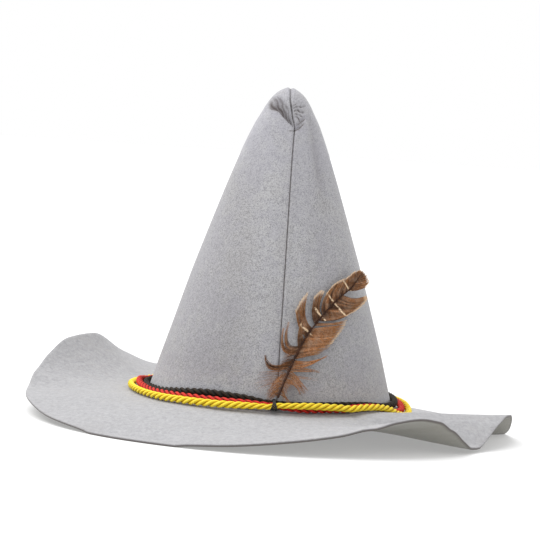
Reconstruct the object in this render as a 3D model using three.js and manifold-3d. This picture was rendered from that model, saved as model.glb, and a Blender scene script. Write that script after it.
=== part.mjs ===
// Tyrolean hat: a tall pointed felt crown on a wide wavy felt brim, three cords
// laid round the foot of the crown, a thread tie and a feather.
// Millimetres, +Z up, +X to the right as seen from the front, +Y to the back.
// The origin is on the floor, under the middle of the hat.

import * as THREE from 'three';
import { mergeVertices } from 'three/addons/utils/BufferGeometryUtils.js';
import Module from 'manifold-3d';

const wasm = await Module();
wasm.setup();

// Driving dimensions of the crown
const crown_foot_radius = 97;
const crown_height = 245;
const crown_wall = 2;
const tip_fold_depth = 5;
const crown_seat_gap = 0.3;

// Driving dimensions of the brim
const brim_width = 98;
const brim_wall = 2;
const foot_lift = 23;
const upturn_height = 29;

// Driving dimensions of the trim
const cord_diameter = 6.4;
const thread_thickness = 0.8;
const thread_band_width = 3.2;
const thread_clearance = 0.3;
const feather_length = 129;
const quill_radius = 1.0;
const quill_taper = 0.6;
const vane_thickness = 0.8;
const lock_taper = 0.85;

// Fineness of the faceted solids
const crown_sides = 48;
const cord_sides = 8;
const cord_steps = 60;
const tie_sides = 20;
const quill_sides = 6;
const quill_steps = 14;
const lock_steps = 5;

// The crown's outline from foot to tip: height as a share of crown_height,
// radius as a share of crown_foot_radius.
const crown_outline = [
  { height: 0, radius: 1 },
  { height: 0.13, radius: 0.907 },
  { height: 0.26, radius: 0.808 },
  { height: 0.39, radius: 0.707 },
  { height: 0.52, radius: 0.597 },
  { height: 0.65, radius: 0.485 },
  { height: 0.745, radius: 0.4 },
  { height: 0.805, radius: 0.344 },
  { height: 0.84, radius: 0.309 },
  { height: 0.862, radius: 0.286 },
  { height: 0.88, radius: 0.266 },
  { height: 0.9, radius: 0.24 },
  { height: 0.92, radius: 0.212 },
  { height: 0.94, radius: 0.186 },
  { height: 0.957, radius: 0.159 },
  { height: 0.973, radius: 0.128 },
  { height: 0.986, radius: 0.09 },
  { height: 0.996, radius: 0.045 },
  { height: 1, radius: 0 },
];

// The crease under the pushed-in front of the tip: across as a share of
// crown_foot_radius, height as a share of crown_height, depth as a share of tip_fold_depth.
const tip_crease = [
  { across: -0.22, height: 0.95, depth: 0 },
  { across: -0.17, height: 0.932, depth: 0.7 },
  { across: -0.06, height: 0.905, depth: 1 },
  { across: 0.06, height: 0.868, depth: 1 },
  { across: 0.15, height: 0.902, depth: 0.6 },
  { across: 0.26, height: 0.93, depth: 0 },
];
const crease_step = 0.016;
const crease_fade = 0.1;

// The brim's waves, one row for each crest, trough and slope, going round from the left
// over the front: angle of the rim in degrees, reach as a share of brim_width, middle and
// drop as shares of the way down to the floor, turn as a share of upturn_height, and
// sweep, the degrees by which a fold leans forward at the crown's foot.
const brim_waves = [
  { angle: -180, reach: 0.99, middle: -0.24, drop: 0.33, turn: 0, sweep: 0 },
  { angle: -162, reach: 0.995, middle: -0.3, drop: 0.54, turn: 0, sweep: 0 },
  { angle: -150, reach: 0.995, middle: -0.38, drop: 0.76, turn: 0, sweep: 0 },
  { angle: -136, reach: 0.995, middle: -0.44, drop: 0.92, turn: 0, sweep: 0 },
  { angle: -127, reach: 0.995, middle: -0.47, drop: 1.14, turn: 0, sweep: 0 },
  { angle: -116, reach: 0.99, middle: -0.48, drop: 1.13, turn: 0, sweep: 0 },
  { angle: -107, reach: 0.99, middle: -0.47, drop: 0.93, turn: 0, sweep: 2 },
  { angle: -98, reach: 0.985, middle: -0.45, drop: 0.81, turn: 0, sweep: 6 },
  { angle: -86, reach: 0.98, middle: -0.4, drop: 0.57, turn: 0, sweep: 14 },
  { angle: -74, reach: 0.975, middle: -0.36, drop: 0.27, turn: 0, sweep: 22 },
  { angle: -67, reach: 0.98, middle: -0.32, drop: 0.02, turn: 0, sweep: 25 },
  { angle: -61, reach: 0.985, middle: -0.28, drop: 0, turn: 0.155, sweep: 27 },
  { angle: -55, reach: 0.985, middle: -0.24, drop: 0, turn: 0.23, sweep: 28 },
  { angle: -49, reach: 0.98, middle: -0.22, drop: 0, turn: 0.135, sweep: 28 },
  { angle: -45, reach: 0.98, middle: -0.24, drop: 0.125, turn: 0, sweep: 28 },
  { angle: -40, reach: 0.975, middle: -0.27, drop: 0.59, turn: 0, sweep: 28 },
  { angle: -36, reach: 0.965, middle: -0.29, drop: 0.86, turn: 0, sweep: 28 },
  { angle: -33, reach: 0.965, middle: -0.28, drop: 0.88, turn: 0, sweep: 28 },
  { angle: -28, reach: 0.965, middle: -0.18, drop: 0.56, turn: 0, sweep: 28 },
  { angle: -22, reach: 0.97, middle: -0.02, drop: 0.16, turn: 0, sweep: 28 },
  { angle: -16, reach: 0.98, middle: 0.05, drop: 0, turn: 0.03, sweep: 28 },
  { angle: -10, reach: 0.985, middle: -0.06, drop: 0.03, turn: 0, sweep: 28 },
  { angle: -4, reach: 0.985, middle: -0.42, drop: 0.36, turn: 0, sweep: 27 },
  { angle: 2, reach: 0.985, middle: -0.66, drop: 0.8, turn: 0, sweep: 26 },
  { angle: 9, reach: 0.975, middle: -0.82, drop: 1.1, turn: 0, sweep: 23 },
  { angle: 18, reach: 0.95, middle: -0.86, drop: 1.16, turn: 0, sweep: 18 },
  { angle: 33, reach: 0.93, middle: -0.87, drop: 1.15, turn: 0, sweep: 11 },
  { angle: 42, reach: 0.935, middle: -0.86, drop: 1.14, turn: 0, sweep: 7 },
  { angle: 50, reach: 0.95, middle: -0.83, drop: 1.06, turn: 0, sweep: 3 },
  { angle: 62, reach: 0.97, middle: -0.7, drop: 0.9, turn: 0, sweep: 0 },
  { angle: 74, reach: 0.97, middle: -0.54, drop: 0.85, turn: 0, sweep: 0 },
  { angle: 86, reach: 0.95, middle: -0.47, drop: 1.16, turn: 0, sweep: 0 },
  { angle: 98, reach: 0.95, middle: -0.47, drop: 1.16, turn: 0, sweep: 0 },
  { angle: 110, reach: 0.96, middle: -0.28, drop: 0.42, turn: 0, sweep: 0 },
  { angle: 121, reach: 0.98, middle: -0.14, drop: 0, turn: 0.03, sweep: 0 },
  { angle: 132, reach: 0.975, middle: 0.04, drop: 0, turn: 0.42, sweep: 0 },
  { angle: 144, reach: 0.945, middle: 0.2, drop: 0, turn: 1, sweep: 0 },
  { angle: 154, reach: 0.96, middle: 0.14, drop: 0, turn: 0.91, sweep: 0 },
  { angle: 163, reach: 0.975, middle: 0, drop: 0, turn: 0.52, sweep: 0 },
  { angle: 172, reach: 0.985, middle: -0.15, drop: 0, turn: 0.11, sweep: 0 },
];

// Rings of the brim from the head opening outwards, as shares of its width
const brim_rings = [0, 0.09, 0.2, 0.32, 0.44, 0.56, 0.68, 0.8, 0.91, 1];
const brim_step_angle = 6;

// The route of the three cords round the crown, in cord diameters: out is the way from
// the crown's wall to the cord's middle, up is the way from the brim to it, girth is the
// share of its thickness that is left where the cords are tied or pressed together.
const cord_route = [
  { angle: -180, yellow_out: 2.34, yellow_up: 0.5, red_out: 1.43, red_up: 0.62,
    black_out: 0.52, black_up: 0.52, girth: 0.84 },
  { angle: -166, yellow_out: 2.36, yellow_up: 0.52, red_out: 1.44, red_up: 0.54,
    black_out: 0.52, black_up: 0.52, girth: 0.85 },
  { angle: -150, yellow_out: 2.38, yellow_up: 0.56, red_out: 1.44, red_up: 0.5,
    black_out: 0.52, black_up: 0.56, girth: 0.86 },
  { angle: -134, yellow_out: 2.4, yellow_up: 0.58, red_out: 1.4, red_up: 0.5,
    black_out: 0.56, black_up: 0.84, girth: 0.92 },
  { angle: -116, yellow_out: 2.38, yellow_up: 0.62, red_out: 1.34, red_up: 0.52,
    black_out: 0.58, black_up: 1.1, girth: 0.94 },
  { angle: -102, yellow_out: 2.32, yellow_up: 0.84, red_out: 1.3, red_up: 0.5,
    black_out: 0.56, black_up: 1, girth: 0.9 },
  { angle: -90, yellow_out: 2.27, yellow_up: 1.13, red_out: 1.42, red_up: 0.66,
    black_out: 0.6, black_up: 0.72, girth: 0.77 },
  { angle: -86, yellow_out: 2.27, yellow_up: 1.13, red_out: 1.42, red_up: 0.66,
    black_out: 0.6, black_up: 0.72, girth: 0.77 },
  { angle: -74, yellow_out: 2.25, yellow_up: 1.2, red_out: 1.33, red_up: 0.48,
    black_out: 0.54, black_up: 0.82, girth: 0.88 },
  { angle: -55, yellow_out: 2.3, yellow_up: 1.06, red_out: 1.34, red_up: 0.5,
    black_out: 0.54, black_up: 0.92, girth: 0.89 },
  { angle: -36, yellow_out: 2.42, yellow_up: 0.72, red_out: 1.44, red_up: 0.52,
    black_out: 0.52, black_up: 0.66, girth: 0.85 },
  { angle: -20, yellow_out: 2.36, yellow_up: 0.56, red_out: 1.43, red_up: 0.54,
    black_out: 0.52, black_up: 0.62, girth: 0.84 },
  { angle: 60, yellow_out: 2.34, yellow_up: 0.54, red_out: 1.43, red_up: 0.54,
    black_out: 0.52, black_up: 0.62, girth: 0.84 },
  { angle: 135, yellow_out: 2.34, yellow_up: 0.5, red_out: 1.43, red_up: 0.5,
    black_out: 0.52, black_up: 0.54, girth: 0.84 },
  { angle: 160, yellow_out: 2.34, yellow_up: 0.5, red_out: 1.43, red_up: 0.56,
    black_out: 0.52, black_up: 0.52, girth: 0.84 },
];
const tie_angle = -88;

// The feather's quill, seen from the front: along, across and up as shares of
// feather_length from its lower end, lift as the gap to the crown in cord diameters.
const quill_route = [
  { along: 0, across: 0, up: 0, lift: 1.62 },
  { along: 0.045, across: 0.012, up: 0.042, lift: 1.44 },
  { along: 0.11, across: 0.033, up: 0.1, lift: 0.9 },
  { along: 0.2, across: 0.064, up: 0.178, lift: 0.36 },
  { along: 0.39, across: 0.138, up: 0.344, lift: 0.3 },
  { along: 0.55, across: 0.222, up: 0.465, lift: 0.32 },
  { along: 0.72, across: 0.319, up: 0.58, lift: 0.36 },
  { along: 0.86, across: 0.402, up: 0.652, lift: 0.42 },
  { along: 1, across: 0.462, up: 0.75, lift: 0.5 },
];
const quill_foot_angle = -86.3;
const quill_foot_up = 1.5;
const feather_leaves_crown = 28;

// The vane on both sides of the quill: root as a share of feather_length along the quill,
// left and right as the reach of the barbs that start there. The barbs lean forward.
const vane_outline = [
  { root: 0.25, left: 0.012, right: 0.05 },
  { root: 0.29, left: 0.02, right: 0.125 },
  { root: 0.37, left: 0.022, right: 0.155 },
  { root: 0.46, left: 0.024, right: 0.152 },
  { root: 0.55, left: 0.03, right: 0.135 },
  { root: 0.575, left: 0.095, right: 0.03 },
  { root: 0.61, left: 0.1, right: 0.115 },
  { root: 0.68, left: 0.092, right: 0.118 },
  { root: 0.75, left: 0.08, right: 0.102 },
  { root: 0.79, left: 0.078, right: 0.026 },
  { root: 0.84, left: 0.07, right: 0.062 },
  { root: 0.9, left: 0.046, right: 0.054 },
  { root: 0.96, left: 0.024, right: 0.036 },
];
const barb_lean = 1.4;

// Loose locks of the vane: root along the quill, then the middle and the tip as along and
// across, and the width at the root, all as shares of feather_length.
const locks = [
  { root: 0.42, mid_along: 0.51, mid_across: -0.085, tip_along: 0.62, tip_across: -0.178, width: 0.09 },
  { root: 0.36, mid_along: 0.37, mid_across: -0.09, tip_along: 0.45, tip_across: -0.15, width: 0.03 },
  { root: 0.32, mid_along: 0.295, mid_across: -0.085, tip_along: 0.385, tip_across: -0.134, width: 0.03 },
  { root: 0.28, mid_along: 0.17, mid_across: -0.1, tip_along: 0.235, tip_across: -0.168, width: 0.034 },
  { root: 0.27, mid_along: 0.29, mid_across: 0.08, tip_along: 0.385, tip_across: 0.16, width: 0.034 },
  { root: 0.23, mid_along: 0.255, mid_across: 0.08, tip_along: 0.285, tip_across: 0.158, width: 0.024 },
  { root: 0.19, mid_along: 0.16, mid_across: 0.08, tip_along: 0.105, tip_across: 0.145, width: 0.04 },
  { root: 0.14, mid_along: 0.12, mid_across: 0.06, tip_along: 0.07, tip_across: 0.12, width: 0.04 },
  { root: 0.19, mid_along: 0.14, mid_across: -0.07, tip_along: 0.1, tip_across: -0.18, width: 0.04 },
  { root: 0.14, mid_along: 0.09, mid_across: -0.06, tip_along: 0.06, tip_across: -0.14, width: 0.04 },
];

const radians = THREE.MathUtils.degToRad;

// Value of a column between the rows of a table, on a curve that never overshoots a row.
// Turning tables close on themselves after a full turn.
function readTable(table, key, column, at, turning = false) {
  const turn = turning ? 360 : 0;
  const rows = turning
    ? [table[table.length - 2], table[table.length - 1], ...table, table[0], table[1]]
    : [table[0], ...table, table[table.length - 1]];
  const first = turning ? 2 : 1;
  const last = first + table.length - 1;
  const place = (index) => {
    if (index < first) return rows[index][key] - turn;
    if (index > last) return rows[index][key] + turn;
    return rows[index][key];
  };
  const slopeBetween = (index) => {
    const gap = place(index + 1) - place(index);
    return gap > 0 ? (rows[index + 1][column] - rows[index][column]) / gap : 0;
  };
  const slopeAt = (index) => {
    const before = slopeBetween(index - 1);
    const after = slopeBetween(index);
    return before * after > 0 ? (2 * before * after) / (before + after) : 0;
  };
  const wrapped = turning ? ((at + 180) % 360 + 360) % 360 - 180 : at;
  const end = turning ? last : last - 1;
  let index = first;
  while (index < end && place(index + 1) < wrapped) index += 1;
  const gap = place(index + 1) - place(index);
  const share = THREE.MathUtils.clamp((wrapped - place(index)) / gap, 0, 1);
  const rise = rows[index + 1][column] - rows[index][column];
  const start_slope = slopeAt(index) * gap;
  const end_slope = slopeAt(index + 1) * gap;
  const bend = (3 - 2 * share) * share * share * rise;
  const lead = share * (1 - share) * (1 - share) * start_slope;
  const tail = share * share * (share - 1) * end_slope;
  return rows[index][column] + bend + lead + tail;
}

// One closed skin over a row of rings. Rings have equal numbers of points, and a ring of
// one point is a pole. A looped skin joins its last ring to its first.
function skin(rings, looped = false) {
  const positions = [];
  const starts = rings.map((ring) => {
    const start = positions.length / 3;
    ring.forEach((point) => positions.push(point.x, point.y, point.z));
    return start;
  });
  const faces = [];
  const pairs = looped ? rings.length : rings.length - 1;
  for (let index = 0; index < pairs; index += 1) {
    const near = rings[index];
    const next = (index + 1) % rings.length;
    const far = rings[next];
    const sides = Math.max(near.length, far.length);
    for (let side = 0; side < sides; side += 1) {
      const turned = (side + 1) % sides;
      const a = starts[index] + (near.length > 1 ? side : 0);
      const b = starts[index] + (near.length > 1 ? turned : 0);
      const c = starts[next] + (far.length > 1 ? turned : 0);
      const d = starts[next] + (far.length > 1 ? side : 0);
      if (near.length > 1) faces.push([a, b, c]);
      if (far.length > 1) faces.push([a, c, d]);
    }
  }
  const point = (index) => new THREE.Vector3().fromArray(positions, index * 3);
  const volume = faces.reduce((sum, [a, b, c]) => {
    return sum + point(a).dot(point(b).cross(point(c)));
  }, 0);
  const indices = faces.flatMap(([a, b, c]) => (volume > 0 ? [a, b, c] : [a, c, b]));
  const geometry = new THREE.BufferGeometry();
  geometry.setAttribute('position', new THREE.Float32BufferAttribute(positions, 3));
  geometry.setIndex(indices);
  return geometry;
}

function toSolid(geometry) {
  const merged = mergeVertices(geometry, 1e-5);
  const mesh = new wasm.Mesh({
    numProp: 3,
    vertProperties: new Float32Array(merged.attributes.position.array),
    triVerts: new Uint32Array(merged.index.array),
  });
  return new wasm.Manifold(mesh);
}

function toGeometry(solid) {
  const mesh = solid.getMesh();
  const geometry = new THREE.BufferGeometry();
  geometry.setAttribute('position', new THREE.BufferAttribute(mesh.vertProperties, 3));
  geometry.setIndex(new THREE.BufferAttribute(mesh.triVerts, 1));
  return geometry;
}

function makePiece(name, geometry, color, roughness) {
  geometry.computeVertexNormals();
  const material = new THREE.MeshStandardMaterial({ color, roughness, metalness: 0 });
  const mesh = new THREE.Mesh(geometry, material);
  mesh.name = name;
  return mesh;
}

// Radius of the crown's outer wall at a height above its foot
function crownRadius(height) {
  const share = THREE.MathUtils.clamp(height / crown_height, 0, 1);
  const next = Math.max(1, crown_outline.findIndex((row) => row.height >= share));
  const low = crown_outline[next - 1];
  const high = crown_outline[next];
  const part = (share - low.height) / (high.height - low.height);
  return THREE.MathUtils.lerp(low.radius, high.radius, part) * crown_foot_radius;
}

// How far the front of the crown is pushed in at a point: a step above the crease that
// fades out upwards
function tipDent(across, height, facing) {
  if (facing > 0) return 0;
  const place = across / crown_foot_radius;
  if (place < tip_crease[0].across || place > tip_crease.at(-1).across) return 0;
  const crease = readTable(tip_crease, 'across', 'height', place);
  const depth = readTable(tip_crease, 'across', 'depth', place);
  const above = height / crown_height - crease;
  const step = THREE.MathUtils.smoothstep(above, -crease_step, crease_step);
  const fade = 1 - THREE.MathUtils.smoothstep(above, crease_step, crease_fade);
  return depth * tip_fold_depth * step * fade;
}

// The crown is a felt cone with a round pole, open at its foot
function makeCrown() {
  const outer = [];
  const inner = [];
  crown_outline.forEach((row, index) => {
    const below = crown_outline[Math.max(index - 1, 0)];
    const above = crown_outline[Math.min(index + 1, crown_outline.length - 1)];
    const slope_out = (below.radius - above.radius) * crown_foot_radius;
    const slope_up = (above.height - below.height) * crown_height;
    const pole = row.radius === 0;
    const normal_out = pole ? 0 : slope_up / Math.hypot(slope_up, slope_out);
    const normal_up = pole ? 1 : slope_out / Math.hypot(slope_up, slope_out);
    const radius = row.radius * crown_foot_radius;
    const height = row.height * crown_height + crown_seat_gap;
    const foot = index === 0;
    const outer_ring = [];
    const inner_ring = [];
    for (let side = 0; side < (pole ? 1 : crown_sides); side += 1) {
      const angle = (side / crown_sides) * Math.PI * 2;
      const away = new THREE.Vector3(Math.cos(angle), Math.sin(angle), 0);
      const normal = away.clone().multiplyScalar(normal_out).setZ(normal_up);
      const point = away.clone().multiplyScalar(radius).setZ(height);
      const dent = tipDent(point.x, height, point.y);
      const outside = point.clone().addScaledVector(normal, -dent);
      const inside = foot
        ? point.clone().addScaledVector(away, -crown_wall / normal_out)
        : outside.clone().addScaledVector(normal, -crown_wall);
      outer_ring.push(outside);
      inner_ring.push(inside);
    }
    outer.push(outer_ring);
    inner.push(inner_ring);
  });
  return skin([...inner.reverse(), ...outer]);
}

// Height of the brim's upper face above the crown's foot, for a rim angle and a share of
// the width: a curve through the foot, the middle and the rim of each wave
function brimHeight(rim_angle, share) {
  const way_down = foot_lift - brim_wall;
  const middle = readTable(brim_waves, 'angle', 'middle', rim_angle, true) * way_down;
  const drop = readTable(brim_waves, 'angle', 'drop', rim_angle, true) * way_down;
  const turn = readTable(brim_waves, 'angle', 'turn', rim_angle, true) * upturn_height;
  const rim = turn - drop;
  const height = rim * share * (2 * share - 1) + middle * 4 * share * (1 - share);
  return Math.max(height, -way_down);
}

function brimPoint(rim_angle, share) {
  const sweep = readTable(brim_waves, 'angle', 'sweep', rim_angle, true);
  const reach = readTable(brim_waves, 'angle', 'reach', rim_angle, true) * brim_width;
  const angle = radians(rim_angle - sweep * (1 - share));
  const radius = crown_foot_radius + reach * share;
  const height = brimHeight(rim_angle, share);
  return new THREE.Vector3(radius * Math.cos(angle), radius * Math.sin(angle), height);
}

// Height of the brim's upper face at a plan radius and a plan angle
function brimTop(radius, angle) {
  let rim_angle = angle;
  let share = 0;
  for (let pass = 0; pass < 20; pass += 1) {
    const reach = readTable(brim_waves, 'angle', 'reach', rim_angle, true) * brim_width;
    share = THREE.MathUtils.clamp((radius - crown_foot_radius) / reach, 0, 1);
    rim_angle = angle + readTable(brim_waves, 'angle', 'sweep', rim_angle, true) * (1 - share);
  }
  return brimHeight(rim_angle, share);
}

// The brim is a felt ring from the head opening to the rim, flat where it rests
function makeBrim() {
  const rim_angles = brim_waves.flatMap((row, index) => {
    const next = brim_waves[index + 1] ?? { angle: brim_waves[0].angle + 360 };
    const gap = next.angle - row.angle;
    const steps = Math.max(2, Math.ceil(gap / brim_step_angle));
    return Array.from({ length: steps }, (unused, step) => row.angle + (gap * step) / steps);
  });
  const nudge = 0.01;
  const opening = (crown_foot_radius - crown_wall) / crown_foot_radius;
  const upper = [];
  const lower = [];
  brim_rings.forEach((share) => {
    upper.push([]);
    lower.push([]);
    rim_angles.forEach((rim_angle) => {
      const point = brimPoint(rim_angle, share);
      const round = brimPoint(rim_angle + nudge, share).sub(brimPoint(rim_angle - nudge, share));
      const near = brimPoint(rim_angle, Math.max(share - nudge, 0));
      const out = brimPoint(rim_angle, Math.min(share + nudge, 1)).sub(near);
      const normal = out.cross(round).normalize();
      const rests = point.z <= brim_wall - foot_lift;
      const down = rests ? new THREE.Vector3(0, 0, 1) : normal;
      const under = point.clone().addScaledVector(down, -brim_wall);
      under.z = Math.max(under.z, -foot_lift);
      upper.at(-1).push(point);
      lower.at(-1).push(under);
    });
  });
  const edge = upper[0].map((point) => point.clone().multiplyScalar(opening));
  const under_edge = edge.map((point) => point.clone().setZ(-brim_wall));
  return skin([edge, ...upper, ...lower.reverse(), under_edge], true);
}

// Middle of a cord at an angle round the crown
function cordPoint(colour, angle) {
  const out = readTable(cord_route, 'angle', `${colour}_out`, angle, true) * cord_diameter;
  const up = readTable(cord_route, 'angle', `${colour}_up`, angle, true) * cord_diameter;
  const height = brimTop(crown_foot_radius + out, angle) + up;
  const radius = crownRadius(height) + out;
  return new THREE.Vector3(
    radius * Math.cos(radians(angle)), radius * Math.sin(radians(angle)), height);
}

function cordRadius(angle) {
  return readTable(cord_route, 'angle', 'girth', angle, true) * cord_diameter / 2;
}

// A cord is a closed round tube along its route
function makeCord(colour) {
  const turn = 360 / cord_steps;
  const rings = Array.from({ length: cord_steps }, (unused, step) => {
    const angle = tie_angle + step * turn;
    const middle = cordPoint(colour, angle);
    const ahead = cordPoint(colour, angle + turn / 2).sub(cordPoint(colour, angle - turn / 2));
    const up = new THREE.Vector3(0, 0, 1);
    const side = ahead.cross(up).normalize();
    const radius = cordRadius(angle);
    return Array.from({ length: cord_sides }, (none, corner) => {
      const round = ((corner + 0.5) / cord_sides) * Math.PI * 2;
      return middle.clone()
        .addScaledVector(side, Math.cos(round) * radius)
        .addScaledVector(up, Math.sin(round) * radius);
    });
  });
  return skin(rings, true);
}

// The tie is a band of thread drawn round the outside of the three cords
function makeTie() {
  const away = new THREE.Vector3(Math.cos(radians(tie_angle)), Math.sin(radians(tie_angle)), 0);
  const along = new THREE.Vector3(-away.y, away.x, 0);
  const up = new THREE.Vector3(0, 0, 1);
  const middles = ['yellow', 'red', 'black'].map((colour) => {
    const point = cordPoint(colour, tie_angle);
    return new THREE.Vector2(point.dot(away), point.z);
  });
  const centre = middles.reduce((sum, point) => sum.add(point), new THREE.Vector2());
  centre.divideScalar(middles.length);
  const reachOf = (direction) => Math.max(
    ...middles.map((point) => point.clone().sub(centre).dot(direction)));
  const loopPoint = (index, gap) => {
    const step = (Math.PI * 2) / tie_sides;
    const here = new THREE.Vector2(Math.cos(index * step), Math.sin(index * step));
    const next = new THREE.Vector2(Math.cos((index + 1) * step), Math.sin((index + 1) * step));
    const far_here = reachOf(here) + gap;
    const far_next = reachOf(next) + gap;
    const turn = here.x * next.y - here.y * next.x;
    const x = (far_here * next.y - far_next * here.y) / turn;
    const y = (far_next * here.x - far_here * next.x) / turn;
    return new THREE.Vector2(x, y).add(centre);
  };
  const inner_gap = cordRadius(tie_angle) + thread_clearance;
  const outer_gap = inner_gap + thread_thickness;
  const half = thread_band_width / 2;
  const corners = [[inner_gap, -half], [outer_gap, -half], [outer_gap, half], [inner_gap, half]];
  const rings = Array.from({ length: tie_sides }, (unused, index) => {
    return corners.map(([gap, shift]) => {
      const point = loopPoint(index, gap);
      return new THREE.Vector3()
        .addScaledVector(away, point.x)
        .addScaledVector(up, point.y)
        .addScaledVector(along, shift);
    });
  });
  return skin(rings, true);
}

// Depth of the sheet that the feather lies in: the crown's wall and a gap, which goes
// straight on where the feather leaves the crown to its right
function featherDepth(across, height, gap) {
  const radius = crownRadius(height) + gap;
  const leave = radians(feather_leaves_crown);
  const edge = radius * Math.sin(leave);
  if (across < edge) return -Math.sqrt(radius * radius - across * across);
  return -radius * Math.cos(leave) + (across - edge) * Math.tan(leave);
}

function quillPoint(share) {
  const foot_angle = radians(quill_foot_angle);
  const foot_height = cordPoint('yellow', quill_foot_angle).z
    + (quill_foot_up * cord_diameter) / 2;
  const foot_across = crown_foot_radius * Math.cos(foot_angle);
  const across = foot_across + readTable(quill_route, 'along', 'across', share) * feather_length;
  const height = foot_height + readTable(quill_route, 'along', 'up', share) * feather_length;
  const gap = readTable(quill_route, 'along', 'lift', share) * cord_diameter;
  return new THREE.Vector3(across, featherDepth(across, height, gap), height);
}

const quill_curve = new THREE.CatmullRomCurve3(
  quill_route.map((row) => quillPoint(row.along)), false, 'centripetal');

// A point of the feather: along the quill and across it in shares of feather_length,
// proud of its sheet in millimetres
function featherPoint(along, across, proud) {
  const share = THREE.MathUtils.clamp(along, 0, 1);
  const middle = quill_curve.getPointAt(share);
  const ahead = quill_curve.getTangentAt(share);
  const facing = Math.min(Math.atan2(middle.x, -middle.y), radians(feather_leaves_crown));
  const sideways = new THREE.Vector3(Math.cos(facing), Math.sin(facing), 0);
  const outward = ahead.clone().cross(sideways).normalize().negate();
  const right = ahead.clone().cross(outward).normalize();
  return middle
    .addScaledVector(ahead, (along - share) * feather_length)
    .addScaledVector(right, across * feather_length)
    .addScaledVector(outward, proud);
}

// A flat strip of the feather between two edges, given as rows of along and across
function featherStrip(left_edge, right_edge) {
  const half = vane_thickness / 2;
  const rings = left_edge.map((left, index) => {
    const right = right_edge[index];
    return [
      featherPoint(left.along, left.across, half),
      featherPoint(right.along, right.across, half),
      featherPoint(right.along, right.across, -half),
      featherPoint(left.along, left.across, -half),
    ];
  });
  const middleOf = (ring) => {
    const sum = ring.reduce((total, point) => total.add(point), new THREE.Vector3());
    return [sum.divideScalar(ring.length)];
  };
  return skin([middleOf(rings[0]), ...rings, middleOf(rings.at(-1))]);
}

// One side of the vane: barbs that lean forward from the quill to the outline
function makeVaneSide(side, column) {
  const quill_edge = vane_outline.map((row) => ({ along: row.root, across: 0 }));
  const outer_edge = vane_outline.map((row) => ({
    along: row.root + row[column] * barb_lean,
    across: row[column] * side,
  }));
  return featherStrip(quill_edge, outer_edge);
}

// A loose lock: a strip that bends from its root to a narrow tip
function makeLock(lock) {
  const curve = new THREE.QuadraticBezierCurve(
    new THREE.Vector2(lock.root, 0),
    new THREE.Vector2(lock.mid_along, lock.mid_across),
    new THREE.Vector2(lock.tip_along, lock.tip_across));
  const edges = [[], []];
  for (let step = 0; step <= lock_steps; step += 1) {
    const share = step / lock_steps;
    const middle = curve.getPoint(share);
    const ahead = curve.getTangent(share);
    const half = (lock.width / 2) * (1 - lock_taper * share * share);
    edges[0].push({ along: middle.x - ahead.y * half, across: middle.y + ahead.x * half });
    edges[1].push({ along: middle.x + ahead.y * half, across: middle.y - ahead.x * half });
  }
  return featherStrip(edges[0], edges[1]);
}

function makeQuill() {
  const rings = Array.from({ length: quill_steps + 1 }, (unused, step) => {
    const share = step / quill_steps;
    const radius = quill_radius * (1 - quill_taper * share);
    return Array.from({ length: quill_sides }, (none, side) => {
      const round = (side / quill_sides) * Math.PI * 2;
      const across = (Math.cos(round) * radius) / feather_length;
      return featherPoint(share, across, Math.sin(round) * radius);
    });
  });
  const foot = featherPoint(0, 0, 0);
  const tip = featherPoint(1, 0, 0);
  return skin([[foot], ...rings, [tip]]);
}

// The feather is one solid: the quill, both sides of the vane and the loose locks
function makeFeather() {
  const pieces = [
    makeVaneSide(1, 'right'),
    makeVaneSide(-1, 'left'),
    ...locks.map(makeLock),
  ];
  const solid = pieces.reduce((sum, piece) => sum.add(toSolid(piece)), toSolid(makeQuill()));
  return toGeometry(solid);
}

const hat = new THREE.Group();
hat.add(makePiece('crown', makeCrown(), 0xb4b3b8, 0.95));
hat.add(makePiece('brim', makeBrim(), 0xbcbcbf, 0.95));
hat.add(makePiece('cord_yellow', makeCord('yellow'), 0xefd33e, 0.5));
hat.add(makePiece('cord_red', makeCord('red'), 0xb52a1e, 0.5));
hat.add(makePiece('cord_black', makeCord('black'), 0x2a2520, 0.55));
hat.add(makePiece('thread_tie', makeTie(), 0x1c1a18, 0.8));
hat.add(makePiece('feather', makeFeather(), 0x8a5a35, 0.8));

// Stand the hat on the floor, with the middle of its outline over the origin
const outline = new THREE.Box3().setFromObject(hat);
const middle = outline.getCenter(new THREE.Vector3());
hat.position.set(-middle.x, -middle.y, foot_lift);

export default hat;
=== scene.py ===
# %% [markdown]
# # A pointed felt hat with cords and a feather
#
# The real hat is soft wool felt: a tall cone sewn up its front, on a wide brim that has
# gone wavy. Three twisted cords lie round the foot of the cone, a black thread ties them
# together, and a brown feather is tucked in behind them. Every shape here is a surface
# worked out with numpy, a point for each pair of parameters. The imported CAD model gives
# the frame, and each piece takes the place of one of its nodes.

# %% Load the frame
import math

import bpy
import numpy as np
from mathutils import Matrix, Vector


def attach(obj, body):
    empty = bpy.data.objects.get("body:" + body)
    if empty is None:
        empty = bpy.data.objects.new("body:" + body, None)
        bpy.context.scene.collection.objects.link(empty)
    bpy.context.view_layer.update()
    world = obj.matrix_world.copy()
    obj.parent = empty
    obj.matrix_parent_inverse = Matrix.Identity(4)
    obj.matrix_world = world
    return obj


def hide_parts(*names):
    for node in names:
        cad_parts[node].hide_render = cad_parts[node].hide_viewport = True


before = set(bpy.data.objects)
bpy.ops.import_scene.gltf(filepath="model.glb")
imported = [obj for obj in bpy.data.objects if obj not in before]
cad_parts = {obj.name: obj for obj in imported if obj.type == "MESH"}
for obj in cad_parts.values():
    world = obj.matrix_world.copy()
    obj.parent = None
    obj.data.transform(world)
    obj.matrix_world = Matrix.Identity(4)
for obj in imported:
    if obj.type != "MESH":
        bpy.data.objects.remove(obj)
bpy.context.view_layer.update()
print("CAD nodes:", sorted(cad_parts))

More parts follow.
